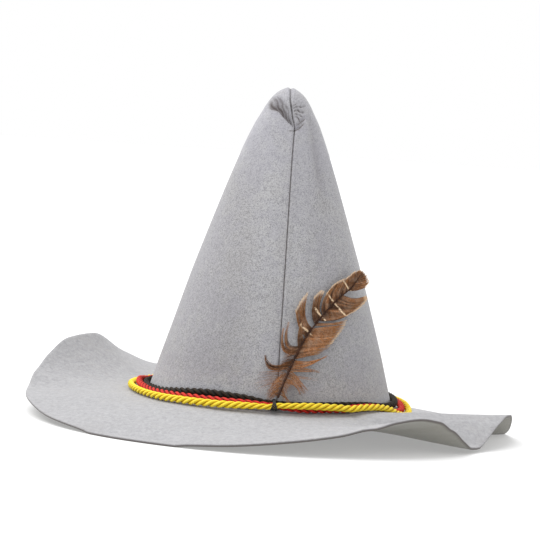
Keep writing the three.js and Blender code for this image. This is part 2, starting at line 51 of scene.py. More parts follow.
# %% [markdown]
# ## The camera
#
# The photograph was taken with a long lens from a little above the brim, and the hat
# leans to the right in it. The hat itself stays upright here, so the camera leans the
# other way. Its three axes are worked out from the point it looks at, then turned.

# %% Place the camera
eye = Vector((0.0, -1.7484, 0.2224))
aim = Vector((-0.0065, 0.0, 0.122))
lean = math.radians(3.75)
forward = (aim - eye).normalized()
level_right = forward.cross(Vector((0, 0, 1))).normalized()
level_up = level_right.cross(forward)
camera_right = level_right * math.cos(lean) + level_up * math.sin(lean)
camera_up = level_up * math.cos(lean) - level_right * math.sin(lean)
turned = Matrix((camera_right, camera_up, -forward)).transposed()
camera_data = bpy.data.cameras.new("camera")
camera_data.lens = 145.8
camera_data.sensor_width = 36
camera_data.clip_end = 50
camera = bpy.data.objects.new("camera", camera_data)
camera.matrix_world = Matrix.Translation(eye) @ turned.to_4x4()
bpy.context.scene.collection.objects.link(camera)
bpy.context.scene.camera = camera
print("camera", [round(x, 3) for x in eye], "lens", camera_data.lens)

# %% [markdown]
# ## Curves through a table
#
# The outline of the cone, the waves of the brim and the route of the cords are short
# tables. Each is read with one kind of curve: a cubic between two rows, whose slope in a
# row is the harmonic mean of the slopes on both sides of it. Such a curve never overshoots
# a row, so a wave is never deeper than its table says.


# %% Read a table
def read_table(places, values, at):
    """A cubic through the rows. The slope in a row is the harmonic mean of the slopes
    before and after it, or zero where they point opposite ways."""
    places = np.asarray(places, float)
    values = np.asarray(values, float)
    at = np.clip(at, places[0], places[-1])
    gaps = np.diff(places)
    slopes = np.diff(values) / gaps
    product = slopes[:-1] * slopes[1:]
    total = slopes[:-1] + slopes[1:]
    inner = np.where(product > 0, 2 * product / np.where(total == 0, 1, total), 0)
    tangents = np.concatenate([[0], inner, [0]])
    row = np.clip(np.searchsorted(places, at) - 1, 0, len(gaps) - 1)
    share = (at - places[row]) / gaps[row]
    rise = values[row + 1] - values[row]
    bend = share * share * (3 - 2 * share) * rise
    lead = share * (1 - share) ** 2 * tangents[row] * gaps[row]
    tail = share * share * (share - 1) * tangents[row + 1] * gaps[row]
    return values[row] + bend + lead + tail


def read_turning(places, values, at):
    """The same curve for a table that closes on itself after a full turn of degrees."""
    places = np.asarray(places, float)
    three_turns = np.concatenate([places - 360, places, places + 360])
    return read_table(three_turns, np.tile(values, 3), (at + 180) % 360 - 180)


def ease(value, low, high):
    """Zero below low, one above high, and a smooth step between them."""
    share = np.clip((value - low) / (high - low), 0, 1)
    return share * share * (3 - 2 * share)


def hump(value, middle, width):
    """A bell curve: one in the middle, fading out over the width on both sides."""
    return np.exp(-(((value - middle) / width) ** 2))


print("a curve through 0, 1 and 4, half way to the 4:", read_table([0, 1, 2], [0, 1, 4], 1.5))

# %% [markdown]
# ## From a grid of points to a mesh
#
# Every surface is a grid with rows and columns, so its faces follow from counting alone.
# A grid can close on itself either way. The cords also need a shift: their columns turn
# with the strands, so the last row meets the first one some columns further on.


# %% Faces of a grid
mm = 0.001


def grid_faces(rows, columns, loop_rows=False, loop_columns=False, shift=0, start=0):
    """Quads of a grid, each corner being start + row * columns + column."""
    row = np.arange(rows if loop_rows else rows - 1)[:, None]
    column = np.arange(columns if loop_columns else columns - 1)[None, :]
    after = (row + 1) % rows
    moved = np.where(after == 0, shift, 0)
    corners = [
        row * columns + column,
        row * columns + (column + 1) % columns,
        after * columns + (column + 1 + moved) % columns,
        after * columns + (column + moved) % columns,
    ]
    return start + np.stack(np.broadcast_arrays(*corners), axis=-1).reshape(-1, 4)


def fan_faces(pole, ring):
    """Triangles from one point to each side of a closed ring."""
    ring = np.asarray(ring)
    return np.stack([np.full(len(ring), pole), ring, np.roll(ring, -1)], axis=-1)


print("faces of a ring of 3 rows and 5 columns:", len(grid_faces(3, 5, loop_columns=True)))


# %% Volume inside faces
def signed_volume(points, faces):
    """The volume inside closed faces: a sixth of the triple product of each triangle's
    corners, summed. It is negative when the faces point inwards."""
    total = 0.0
    for face in faces:
        for corner in range(1, face.shape[1] - 1):
            a = points[face[:, 0]]
            b = points[face[:, corner]]
            c = points[face[:, corner + 1]]
            total += np.einsum("ij,ij->i", a, np.cross(b, c)).sum() / 6
    return total


cube_corner = np.array([[0, 0, 0], [1, 0, 0], [0, 1, 0], [0, 0, 1.0]])
cut_off = signed_volume(cube_corner, [np.array([[0, 2, 1], [0, 1, 3], [1, 2, 3], [0, 3, 2]])])
print("volume of the cut-off corner of a unit cube:", round(float(cut_off), 4))


# %% Make a piece
def make_piece(name, points, faces, finish, node=None, uv=None, values=None):
    """One smooth closed mesh in metres from points in millimetres. Faces is a list of
    arrays of corners, uv has one pair for each corner of each face in turn, and values
    holds named numbers for the points."""
    if signed_volume(points, faces) < 0:
        flipped = [face[:, ::-1] for face in faces]
        if uv is not None:
            uv = [pairs[:, ::-1] for pairs in uv]
        faces = flipped
    mesh = bpy.data.meshes.new(name)
    mesh.from_pydata((points * mm).tolist(), [], [f for face in faces for f in face.tolist()])
    mesh.polygons.foreach_set("use_smooth", np.ones(len(mesh.polygons), bool))
    if uv is not None:
        layer = mesh.uv_layers.new(name="pattern")
        flat = np.concatenate([pairs.reshape(-1, 2) for pairs in uv])
        layer.data.foreach_set("uv", flat.ravel().astype(np.float32))
    for key, numbers in (values or {}).items():
        attribute = mesh.attributes.new(key, "FLOAT", "POINT")
        attribute.data.foreach_set("value", np.asarray(numbers, np.float32).ravel())
    mesh.materials.append(finish)
    mesh.validate()
    piece = bpy.data.objects.new(name, mesh)
    bpy.context.scene.collection.objects.link(piece)
    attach(piece, "root")
    if node:
        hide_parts(node)
    triangles = sum(len(face) * (face.shape[1] - 2) for face in faces)
    size = np.ptp(points, axis=0)
    print(name, "triangles", triangles, "size in mm", np.round(size, 1))
    return piece


# %% [markdown]
# ## Shader sums as expressions
#
# A material is a net of small nodes. Written out one by one it is long and hard to read,
# so a wire is wrapped in a class that knows plus, minus and times. An expression such as
# 1 - mask * 0.5 then adds its own Math nodes. Colours are mixed by Mix nodes.


# %% Wires
class Wire:
    """A number that flows through a material. Plus, minus and times add a Math node each,
    whichever side the wire is on."""

    def __init__(self, finish, socket):
        self.finish = finish
        self.socket = socket

    def maths(self, operation, *values):
        """One Math node of that operation on the given values, or on this one alone."""
        inputs = dict(enumerate(values or (self,)))
        return self.finish.add("ShaderNodeMath", {"operation": operation}, inputs)

    def __add__(self, other):
        return self.maths("ADD", self, other)

    def __radd__(self, other):
        return self.maths("ADD", other, self)

    def __sub__(self, other):
        return self.maths("SUBTRACT", self, other)

    def __rsub__(self, other):
        return self.maths("SUBTRACT", other, self)

    def __mul__(self, other):
        return self.maths("MULTIPLY", self, other)

    def __rmul__(self, other):
        return self.maths("MULTIPLY", other, self)

    def between(self, low, high):
        """A smooth step from 0 at low to 1 at high."""
        settings = {"interpolation_type": "SMOOTHSTEP"}
        inputs = {"Value": self, "From Min": low, "From Max": high}
        return self.finish.add("ShaderNodeMapRange", settings, inputs)


print("wires can be added, taken away and multiplied, with numbers on either side")


# %% Finishes
class Finish:
    """A material with one principled shader. Any other node comes from add()."""

    def __init__(self, name):
        self.material = bpy.data.materials.new(name)
        self.material.use_nodes = True
        self.tree = self.material.node_tree
        self.shader = self.tree.nodes["Principled BSDF"]

    def add(self, kind, settings=None, inputs=None, output=0):
        """A node of that kind: its settings first, then the values or links of its
        sockets, by name or number. Returns the wire of one output."""
        node = self.tree.nodes.new(kind)
        for key, value in (settings or {}).items():
            setattr(node, key, value)
        self.feed(node, inputs or {})
        return Wire(self, node.outputs[output])

    def feed(self, node, inputs):
        """Links each wire to its socket, or sets the socket's value."""
        for key, value in inputs.items():
            if isinstance(value, Wire):
                self.tree.links.new(value.socket, node.inputs[key])
            else:
                node.inputs[key].default_value = value

    def mix(self, share, low, high):
        """A colour on the way from low to high."""
        return self.add("ShaderNodeMix", {"data_type": "RGBA"}, {0: share, 6: low, 7: high}, 2)

    def place(self):
        """The point on the piece, in metres."""
        return self.add("ShaderNodeTexCoord", output="Object")

    def level(self):
        """The height of the point above the floor, in metres."""
        return self.add("ShaderNodeSeparateXYZ", {}, {"Vector": self.place()}, 2)

    def stretched(self, scale):
        """The point on the piece with each axis stretched by its own scale."""
        return self.add("ShaderNodeMapping", {}, {"Vector": self.place(), "Scale": scale})

    def noise(self, size, detail=3, roughness=0.5, twist=0, vector=None):
        """Cloudy noise whose blobs are that many millimetres across, from 0 to 1."""
        inputs = {
            "Vector": vector or self.place(),
            "Scale": 1 / (size * mm),
            "Detail": detail,
            "Roughness": roughness,
            "Distortion": twist,
        }
        return self.add("ShaderNodeTexNoise", {}, inputs)

    def pattern(self, axis):
        """One axis, 0 or 1, of the piece's own flat pattern."""
        uv = self.add("ShaderNodeUVMap", {"uv_map": "pattern"})
        return self.add("ShaderNodeSeparateXYZ", {}, {"Vector": uv}, axis)

    def value_of(self, name):
        """A named number that the mesh carries for its points."""
        settings = {"attribute_type": "GEOMETRY", "attribute_name": name}
        return self.add("ShaderNodeAttribute", settings, output="Fac")

    def bump(self, height, depth, strength=1.0):
        """A relief of that depth in millimetres for the shader's normal."""
        inputs = {"Height": height, "Distance": depth * mm, "Strength": strength}
        return self.add("ShaderNodeBump", {}, inputs)


print("a noise whose blobs are 1 mm across has the scale", 1 / mm)


# %% [markdown]
# ## Felt
#
# Felt is a mat of wool hairs with no weave. Close up it is a jumble of short curls, and
# from further away it is softly mottled. Layers of noise make it: curls and grain of about
# a millimetre, clouds of three, fine hairs, and wide patches that lean to blue or to warm
# grey. The crown's felt is rougher than the brim's, with dark specks and more blue towards
# its top, and the brim's lower face is a darker, warm olive. The curls also raise the
# surface a little. A faint sheen stands for the loose hairs that catch light at the edges.
# Shade is also painted into the colour where the mesh carries a value for it: in the seam's
# groove, where the stitched line is dark too, in the folds of the tip, in broad bands on
# the crown and along the brim's cut edge.


# %% Felt finish
felt_light = (0.44, 0.438, 0.448, 1)
felt_dark = (0.205, 0.203, 0.214, 1)
felt_blue = (0.315, 0.309, 0.350, 1)
felt_warm = (0.335, 0.325, 0.322, 1)
felt_under = (0.235, 0.228, 0.192, 1)
felt_shadow = (0.075, 0.062, 0.060, 1)


def make_felt(name, rough_nap, darker_olive_under):
    """Mottled grey wool felt with shade painted in where the mesh carries a value for it: in
    the seam's groove, whose dark stitched line it also draws, in the folds of the tip, in
    broad bands on the crown and along the cut edge. A rough nap has dark specks, and bluish
    patches that grow with the height. Darker olive under gives a brim's lower face a darker,
    warm olive colour. Each share is how much of a layer is mixed in."""
    felt = Finish(name)
    curls = felt.noise(1.4, 3, 0.55, 2.6)
    clouds = felt.noise(3.2, 2, 0.5, 0.8)
    fine = felt.noise(0.45, 2, 0.6)
    patches = felt.noise(38, 2)
    tint = felt.noise(9, 3, 0.6) * 0.5 + patches * 0.5
    if rough_nap:
        grain = felt.noise(0.95, 2, 0.55, 1.2)
        mottle = curls * 0.4 + grain * 0.45 + clouds * 0.08 + fine * 0.07
        colour = felt.mix(mottle.between(0.405, 0.53), felt_dark, felt_light)
        level = felt.level()
        blue = tint.between(0.42, 0.6) * 0.34 + level.between(0.16, 0.27) * 0.34
        colour = felt.mix(blue, colour, felt_blue)
        specks = felt.noise(1.5, 1, 0.5, 2.2).between(0.55, 0.64) * 0.6
        colour = felt.mix(specks, colour, felt_dark)
    else:
        mottle = curls * 0.3 + clouds * 0.4 + fine * 0.3
        colour = felt.mix(mottle.between(0.17, 0.83), felt_dark, felt_light)
    colour = felt.mix((1 - tint).between(0.5, 0.64) * 0.2, colour, felt_warm)
    if darker_olive_under:
        colour = felt.mix(felt.value_of("under") * 0.8, colour, felt_under)
    # painted shade: felt_shadow mixed in by the mesh's value, together with the seam's dark stitched line
    colour = felt.mix(felt.value_of("painted_shade_and_seam"), colour, felt_shadow)
    height = curls * 0.6 + clouds * 0.25 + fine * 0.15
    inputs = {
        "Base Color": colour,
        "Roughness": 0.95,
        "Normal": felt.bump(height, 0.5, 0.55),
        "Sheen Weight": 0.2,
        "Sheen Roughness": 0.5,
        "Specular IOR Level": 0.15,
    }
    felt.feed(felt.shader, inputs)
    return felt.material


crown_felt = make_felt("felt_crown", True, False)
brim_felt = make_felt("felt_brim", False, True)
print("felt finishes:", crown_felt.name, brim_felt.name)

# %% [markdown]
# ## Cord
#
# The cords are three strands of shiny yarn twisted together. A strand is a bundle of fine
# threads that run along the cord, so thin lines along it show in the gloss. The grooves
# between the strands get little light, and the mesh carries how deep in a groove a point
# lies, so shade is painted into the colour there, and a painted highlight lightens the top
# of each strand.


# %% Cord finish
def make_cord_finish(name, deep, plain, highlight_colour, shine):
    """Shiny twisted yarn: shade painted deep into the grooves and a painted highlight on the
    top of each strand, with fine threads along the cord."""
    cord = Finish(name)
    height = cord.value_of("height")
    threads = (cord.pattern(1) * 289 + cord.pattern(0) * 5.0).maths("SINE")
    flecks = cord.noise(0.7, 3, 0.6)
    # painted shade darkens the grooves, then a painted highlight lightens the top of each strand
    colour = cord.mix(height.between(0.1, 0.62), deep, plain)
    highlight_share = height.between(0.55, 0.95) * (flecks + threads * 0.12).between(0.38, 0.62)
    colour = cord.mix(highlight_share, colour, highlight_colour)
    relief = threads * 0.5 + flecks * 0.6
    inputs = {
        "Base Color": colour,
        "Roughness": shine,
        "Normal": cord.bump(relief, 0.12, 0.5),
        "Specular IOR Level": 0.12,
    }
    cord.feed(cord.shader, inputs)
    return cord.material


# each yarn: its painted groove shade, its own colour, its painted highlight and its roughness
yellow_yarn = make_cord_finish(
    "yellow_yarn", (0.42, 0.20, 0.004, 1), (0.80, 0.58, 0.022, 1), (0.90, 0.74, 0.075, 1), 0.5)
red_yarn = make_cord_finish(
    "red_yarn", (0.11, 0.003, 0.002, 1), (0.46, 0.020, 0.010, 1), (0.66, 0.045, 0.032, 1), 0.5)
black_yarn = make_cord_finish(
    "black_yarn", (0.004, 0.003, 0.002, 1), (0.016, 0.011, 0.007, 1), (0.036, 0.024, 0.014, 1), 0.5)
print("yarns:", yellow_yarn.name, red_yarn.name, black_yarn.name)

# %% [markdown]
# ## The cone's outline
#
# The felt cone is nearly a surface of revolution. A table gives its radius for each
# height, and the curve is read along its own length, so it can go round over the tip. The
# table goes on past both ends, once straight below the foot and once mirrored behind the
# tip, which keeps the slope right at the ends.

# %% Outline of the crown
crown_foot_radius = 97
crown_height = 245
felt_wall = 2
foot_centre = np.array([-0.18, 1.59, 23.0])
seat_gap = 0.3
outline_height = crown_height * np.array([
    0, 0.13, 0.26, 0.39, 0.52, 0.65, 0.745, 0.805, 0.84, 0.862, 0.88, 0.9, 0.92, 0.94,
    0.957, 0.973, 0.986, 0.996, 1])
outline_radius = crown_foot_radius * np.array([
    1, 0.907, 0.808, 0.707, 0.597, 0.485, 0.4, 0.344, 0.309, 0.286, 0.266, 0.24, 0.212,
    0.186, 0.159, 0.128, 0.09, 0.045, 0])
height_rows = np.concatenate([[-outline_height[1]], outline_height, [outline_height[-2]]])
radius_rows = np.concatenate(
    [[2 * outline_radius[0] - outline_radius[1]], outline_radius, [-outline_radius[-2]]])
way_steps = np.hypot(np.diff(height_rows), np.diff(radius_rows))
way_rows = np.concatenate([[0], np.cumsum(way_steps)]) - way_steps[0]
crown_way = way_rows[-2]


def crown_outline(way):
    """Radius and height of the outline at a length along it, from the foot."""
    return read_table(way_rows, radius_rows, way), read_table(way_rows, height_rows, way)


def crown_radius(height):
    """Radius of the cone at a height, straight between the rows."""
    return np.interp(height, outline_height, outline_radius)


print("length of the outline from foot to tip:", round(crown_way, 1), "mm")

# %% [markdown]
# ## The seam and the folds of the tip
#
# The cone is closed by a seam up its front, a thin dark line with felt swelling on both
# sides of it. Near the tip the seam has pulled the felt in: on its left a hollow with a
# sharp lower edge, on its right two small creases and a patch of puckers that fan out.
# Below them a soft fold runs down on the right. Each of these is a function of a point's
# place across and its height on the cone, or of its distance from the seam. It gives how
# far the felt is pushed in there, in millimetres, and how much painted shade darkens the
# felt there, from 0 to 1; in the seam the dark line is also its stitching. They only count
# on the front half, except the notch that the seam cuts into the very top. Broad bands of
# painted shade are added over them and fade out round the back.

# %% Where the seam runs
seam_height = [0, 43, 100, 172, 201, 211, 216.3, 220.6, 226.3, 231.1, 235.1, 239.3, 245]
seam_across = [5.8, 5.5, 5.5, 5.4, 5.6, 5.9, 5.4, 4.1, 2.9, 1.9, 1.0, 0.9, 0.7]
seam_depth = [0.75, 0.75, 0.8, 0.9, 0.95, 1.2, 1.9, 2.3, 2.4, 2.2, 1.6, 1.3, 1.3]
seam_width = [0.8, 0.8, 0.8, 0.85, 0.9, 1.0, 1.2, 1.4, 1.4, 1.3, 1.1, 1.2, 1.6]
lip_height = 0.32
lip_width = 1.3
stitch_length = 4.6


def seam_marks(seam, height, front):
    """A groove that is deepest on the line, less a bell curve beside it for the felt that
    swells there. The dark line, partly the stitching and partly painted shade in the groove,
    is a narrower bell curve that pulses with each stitch."""
    groove_depth = read_table(seam_height, seam_depth, height)
    groove_width = read_table(seam_height, seam_width, height)
    over_top = np.maximum(front, ease(height, 238, 243))
    groove = np.clip(1 - np.abs(seam) / groove_width, 0, 1) ** 1.4
    lips = hump(np.abs(seam), groove_width + lip_width, lip_width)
    push = (groove_depth * groove - lip_height * lips) * over_top
    stitches = 0.82 + 0.18 * np.sin(height * 2 * np.pi / stitch_length)
    fading = 1 - 0.45 * ease(height, 230, 240)
    # the seam's stitched line together with painted shade in its groove
    dark = 0.95 * hump(seam, 0, 0.54 * groove_width) * over_top * fading * stitches
    return push, dark


print("the seam wanders from", seam_across[0], "to", seam_across[-1], "mm right of the middle")

# %% The hollow left of the seam
left_across = [-16.5, -13.3, -10.4, -7.5, -4.5, -1.1, 3.7, 6.0]
left_height = [228.6, 226.6, 226.3, 225.3, 222.3, 219.1, 214.6, 211.2]
left_depth = [0.4, 1.8, 2.8, 3.6, 4.3, 4.2, 3.1, 1.2]
hollow_rise = 15
hollow_sharp = 0.8
hollow_root = (5.5, 208.5)


def fold_step(across, height, table_across, table_height, table_depth, rise, sharp):
    """Felt pushed in above a crease: a step of the table's depth just above the line,
    which comes out again over the rise. Also gives how near a point is to the line."""
    line = read_table(table_across, table_height, across)
    depth = read_table(table_across, table_depth, across)
    inside = (across > table_across[0]) & (across < table_across[-1])
    above = height - line
    step = ease(above, -sharp, sharp) * (1 - ease(above, sharp, rise))
    near = hump(above, 0, sharp * 0.8) * np.clip(depth, 0, 1)
    return depth * step * inside, near * inside


def hollow_marks(seam, across, height):
    """One deep fold step. Its painted shade is streaked with sines of the angle round the
    fold's lower end, deeper just above the line and paler towards the seam, and a painted
    dark line follows the crease."""
    pocket, line = fold_step(
        across, height, left_across, left_height, left_depth, hollow_rise, hollow_sharp)
    beside = ease(-seam, 0.4, 2.2)
    round_root = np.arctan2(height - hollow_root[1], hollow_root[0] - across)
    streaks = np.sin(round_root * 46 + 1.1 * np.sin(height * 0.8) + 0.7 * np.sin(across * 1.3))
    shade = ease(pocket, 0.1, 1.3) * (0.5 + 0.2 * streaks - 0.24 * ease(across, -6.5, 2))
    above = height - read_table(left_across, left_height, across)
    shade = shade + 0.34 * hump(above, 2.2, 3) * (across > -16) * (across < 4.5)
    return pocket * beside, (np.maximum(shade, 0) + 0.35 * line) * beside


print("the hollow is up to", max(left_depth), "mm deep")

# %% The creases right of the seam
right_across = [5.6, 6.3, 9.5, 11.7, 13.6]
right_height = [210.6, 211.1, 212.9, 215.4, 217.2]
right_depth = [1.2, 2.0, 1.9, 1.1, 0]
right_rise = 5.5
right_sharp = 1.0
upper_across = [6.5, 9.2, 11.0, 13.1, 14.5]
upper_height = [215.8, 216.9, 218.2, 220.1, 221.5]
upper_depth = [0.3, 1.1, 1.3, 0.9, 0]
upper_rise = 3.5
upper_sharp = 0.9


def crease_marks(across, height):
    """Two fold steps on the right, and one short level tick just left of the seam, with painted
    shade along each crease line and on the tick.
    """
    lower, lower_line = fold_step(
        across, height, right_across, right_height, right_depth, right_rise, right_sharp)
    upper, upper_line = fold_step(
        across, height, upper_across, upper_height, upper_depth, upper_rise, upper_sharp)
    tick = hump(height, 210.3 + 0.05 * across, 0.5) * ease(across, 1.2, 2.6)
    tick = tick * (1 - ease(across, 5.2, 6.4))
    push = lower + upper + 0.7 * tick
    return push, 0.95 * lower_line + 0.8 * upper_line + 0.4 * tick


print("the creases are up to", max(right_depth), "and", max(upper_depth), "mm deep")

# %% The puckers
fan_root = (-3, 226)
puckers_per_turn = 23


def pucker_marks(seam, across, height):
    """Sines of the angle round a point left of the seam, bent by slower sines and kept to a
    small patch. The felt is pushed in along them, and painted shade darkens the patch, most
    where the felt is pushed in deepest."""
    patch = ease(seam, 0.8, 2.2) * (1 - ease(across, 10.5, 14.5))
    patch = patch * ease(height, 217, 220.5) * (1 - ease(height, 230, 234.5))
    fan = np.arctan2(height - fan_root[1], across - fan_root[0])
    bend = 1.3 * np.sin(across * 0.7) + 0.9 * np.sin(height * 0.9)
    ripples = np.sin(fan * puckers_per_turn + bend)
    short = 0.65 + 0.35 * np.sin(across * 1.9 + height * 1.1)
    push = patch * (0.7 + 0.5 * ripples * short)
    return push, patch * (0.14 + 0.72 * ease(ripples, 0.15, 0.95) * short)


print("one pucker every", round(360 / puckers_per_turn, 1), "degrees of the fan")

# %% The soft fold and the painted broad shade
fold_top = 213
fold_top_off = 14
fold_lean = 0.22
# painted broad shade, by the distance from the seam
broad_shade_at = [-61, -60, -46, -34, -24, -16, -9, -3, 0, 4, 10, 18, 30, 45, 60, 61]
broad_shade_dark = [
    0.18, 0.18, 0.2, 0.16, 0.08, 0.02, 0.02, 0.08, 0.06, 0.04, 0.02, 0.09, 0.11, 0.09, 0.06, 0.06]


def soft_fold_marks(seam, height):
    """A ridge and a valley beside it, both bell curves that move away from the seam on the
    way down. Painted shade darkens the valley."""
    reach = ease(height, 140, 185) * (1 - ease(height, 217, 227))
    middle = fold_top_off + fold_lean * (fold_top - height)
    ridge = hump(seam, middle - 5, 3.5)
    push = (1.5 * hump(seam, middle, 3.2) - 0.7 * ridge) * reach
    return push, 0.19 * hump(seam, middle, 3.6) * reach


def broad_painted_shade(seam, depth, height):
    """Painted broad shade on the crown: a table by the distance from the seam, and a little
    more towards the foot. It fades out round the back."""
    round_side = ease(-depth, -75, 0)
    wall = ease(height, 4, 30) * (1 - ease(height, 160, 215))
    # painted shade, read from the table by the distance from the seam
    pressed = read_table(broad_shade_at, broad_shade_dark, np.clip(seam, -60, 60))
    return (pressed * wall + 0.09 * (1 - ease(height, 10, 190))) * round_side


print("the soft fold runs", fold_top_off, "mm right of the seam at", fold_top, "mm up")

# %% All the crown's folds and painted shade
darkest = 0.95


def crown_marks(across, depth, height):
    """How far the cone is pushed in at a point, and how dark the felt is there: the seam's
    stitched line and painted shade in its groove, in the folds and in broad bands, all summed."""
    front = ease(-depth, -1.5, 1.5)
    seam = across - read_table(seam_height, seam_across, height)
    push, dark = seam_marks(seam, height, front)
    for more_push, more_dark in [
        hollow_marks(seam, across, height),
        crease_marks(across, height),
        pucker_marks(seam, across, height),
        soft_fold_marks(seam, height),
    ]:
        push = push + more_push * front
        dark = dark + more_dark * front
    dark = dark + broad_painted_shade(seam, depth, height)
    return push, np.clip(dark, 0, darkest)


half_way = crown_marks(np.array([5.5]), np.array([-50.0]), np.array([120.0]))
print("in the seam half way up, pushed in and dark:", np.round(np.ravel(half_way), 2))

# %% [markdown]
# ## The crown
#
# The grid's rows climb the outline and its columns go round. The columns stand close
# together at the seam and wide apart at the back: their distance from the seam is a
# small straight part plus a cube, so that the groove is sharp with few faces. The inner
# wall is the outer one moved in by the felt's thickness along the surface's normal.


# %% Surface of the crown
def surface_normals(grid, loop_rows=False):
    """Unit normals of a grid that closes on itself along its columns: the cross product
    of the steps to the neighbours on both sides."""
    along = np.roll(grid, -1, axis=1) - np.roll(grid, 1, axis=1)
    if loop_rows:
        up = np.roll(grid, -1, axis=0) - np.roll(grid, 1, axis=0)
    else:
        up = np.gradient(grid, axis=0)
    normal = np.cross(along, up)
    return normal / np.linalg.norm(normal, axis=-1, keepdims=True)


# the tip's folds need closer rows than the wall
crown_columns = 280
wall_rows = 74
tip_rows = 100
tip_way = 52
pole_gap = 0.5
low_ways = np.linspace(0, crown_way - tip_way, wall_rows, endpoint=False)
high_ways = np.linspace(crown_way - tip_way, crown_way - pole_gap, tip_rows)
ways = np.concatenate([low_ways, high_ways])[:, None]
turn = np.linspace(-1, 1, crown_columns, endpoint=False)[None, :]
spread = np.pi * (0.1 * turn + 0.9 * turn**3)
radius, height = crown_outline(ways)
seam_place = read_table(seam_height, seam_across, height)
seam_angle = -np.arccos(np.clip(seam_place / radius, -0.35, 0.35))
angle = seam_angle + spread
print("columns at the seam stand", round(0.1 * np.pi * 2 / crown_columns * 60, 2), "mm apart")

# %% Bend and mark the crown
# felt is never quite round, so the radius sways by half a millimetre
sway = 0.55 * np.sin(3 * angle + 1.1 + height / 70) + 0.35 * np.sin(5 * angle + 0.4 - height / 50)
sway = sway * ease(height, 5, 60) * (1 - ease(height, 200, 225))
body = np.stack([
    (radius + sway) * np.cos(angle),
    (radius + sway) * np.sin(angle),
    np.broadcast_to(height + seat_gap, angle.shape),
], axis=-1)
outward = surface_normals(body)
push, dark = crown_marks(body[..., 0], body[..., 1], body[..., 2] - seat_gap)
outer = body - outward * push[..., None]
outer[..., 2] = np.maximum(outer[..., 2], seat_gap)
print("crown grid", outer.shape[:2], "deepest fold in mm", round(float(push.max()), 2))

# %% Close the crown
# the inner wall is plain, so it takes every third row of the wall and fourth of the tip
all_rows = wall_rows + tip_rows
chosen = np.unique(np.concatenate([
    np.arange(0, wall_rows, 3), np.arange(wall_rows, all_rows, 4), [all_rows - 1]]))
inner = (outer - surface_normals(outer) * felt_wall)[chosen]
foot_share = 1 - felt_wall / crown_foot_radius
to_opening = np.array([foot_share, foot_share, 1])
inner[0] = outer[0] * to_opening
crown_grid = np.concatenate([inner[::-1], outer])
crown_rows = len(crown_grid)
notch = 0.9
top = crown_height + seat_gap - notch
poles = np.array([[0, 0, top - felt_wall], [0, 0, top]])
crown_points = np.concatenate([crown_grid.reshape(-1, 3), poles]) + foot_centre
first_ring = np.arange(crown_columns)
last_ring = (crown_rows - 1) * crown_columns + first_ring
crown_faces = [
    grid_faces(crown_rows, crown_columns, loop_columns=True),
    fan_faces(crown_rows * crown_columns, first_ring[::-1]),
    fan_faces(crown_rows * crown_columns + 1, last_ring),
]
inner_dark = np.zeros((len(chosen), crown_columns))
# the seam's line and painted shade on the outer wall, none on the inner one
crown_seam_and_shade = np.concatenate([inner_dark.ravel(), dark.ravel(), [0, dark[-1].mean()]])
crown_piece = make_piece(
    "crown_felt", crown_points, crown_faces, crown_felt, "crown", values={"painted_shade_and_seam": crown_seam_and_shade})

# %% [markdown]
# ## The brim
#
# The brim is a flat ring of felt that has sagged into waves. A table has one row for each
# crest, trough and slope, going round. Along one direction out from the crown the height
# is a parabola through the foot, the middle and the rim, and a fold can lean, so that it
# starts at another angle than where it meets the rim. Where a trough reaches the floor
# the felt lies flat on it.

# %% Waves of the brim
brim_width = 98
foot_lift = 23
upturn_height = 29
way_down = foot_lift - felt_wall
# angle, reach, middle, drop, turn, sweep
brim_waves = np.array([
    [-180, 0.99, -0.24, 0.33, 0, 0],
    [-162, 0.995, -0.3, 0.54, 0, 0],
    [-150, 0.995, -0.38, 0.76, 0, 0],
    [-136, 0.995, -0.44, 0.92, 0, 0],
    [-127, 0.995, -0.47, 1.14, 0, 0],
    [-116, 0.99, -0.48, 1.13, 0, 0],
    [-107, 0.99, -0.47, 0.93, 0, 2],
    [-98, 0.985, -0.45, 0.81, 0, 6],
    [-86, 0.98, -0.4, 0.57, 0, 14],
    [-74, 0.975, -0.36, 0.27, 0, 22],
    [-67, 0.98, -0.32, 0.02, 0, 25],
    [-61, 0.985, -0.28, 0, 0.155, 27],
    [-55, 0.985, -0.28, 0, 0.23, 28],
    [-49, 0.98, -0.3, 0, 0.135, 28],
    [-45, 0.98, -0.34, 0.125, 0, 28],
    [-40, 0.975, -0.4, 0.59, 0, 28],
    [-36, 0.965, -0.44, 0.86, 0, 28],
    [-33, 0.965, -0.44, 0.88, 0, 28],
    [-28, 0.965, -0.24, 0.56, 0, 28],
    [-22, 0.97, -0.05, 0.16, 0, 28],
    [-16, 0.98, 0.05, 0, 0.03, 28],
    [-10, 0.985, -0.06, 0.03, 0, 28],
    [-4, 0.985, -0.42, 0.36, 0, 27],
    [2, 0.985, -0.66, 0.8, 0, 26],
    [9, 0.975, -0.82, 1.1, 0, 23],
    [18, 0.95, -0.86, 1.16, 0, 18],
    [33, 0.93, -0.87, 1.15, 0, 11],
    [42, 0.935, -0.86, 1.14, 0, 7],
    [50, 0.95, -0.83, 1.06, 0, 3],
    [62, 0.97, -0.7, 0.9, 0, 0],
    [74, 0.97, -0.54, 0.85, 0, 0],
    [86, 0.95, -0.47, 1.16, 0, 0],
    [98, 0.95, -0.47, 1.16, 0, 0],
    [110, 0.96, -0.28, 0.42, 0, 0],
    [121, 0.98, -0.14, 0, 0.03, 0],
    [132, 0.975, -0.06, 0, 0.42, 0],
    [144, 0.945, 0.06, 0, 1, 0],
    [154, 0.96, 0.02, 0, 0.91, 0],
    [163, 0.975, -0.1, 0, 0.52, 0],
    [172, 0.985, -0.18, 0, 0.11, 0],
])
wave_angle, wave_reach, wave_middle, wave_drop, wave_turn, wave_sweep = brim_waves.T
print("rows of the brim's waves:", len(brim_waves))

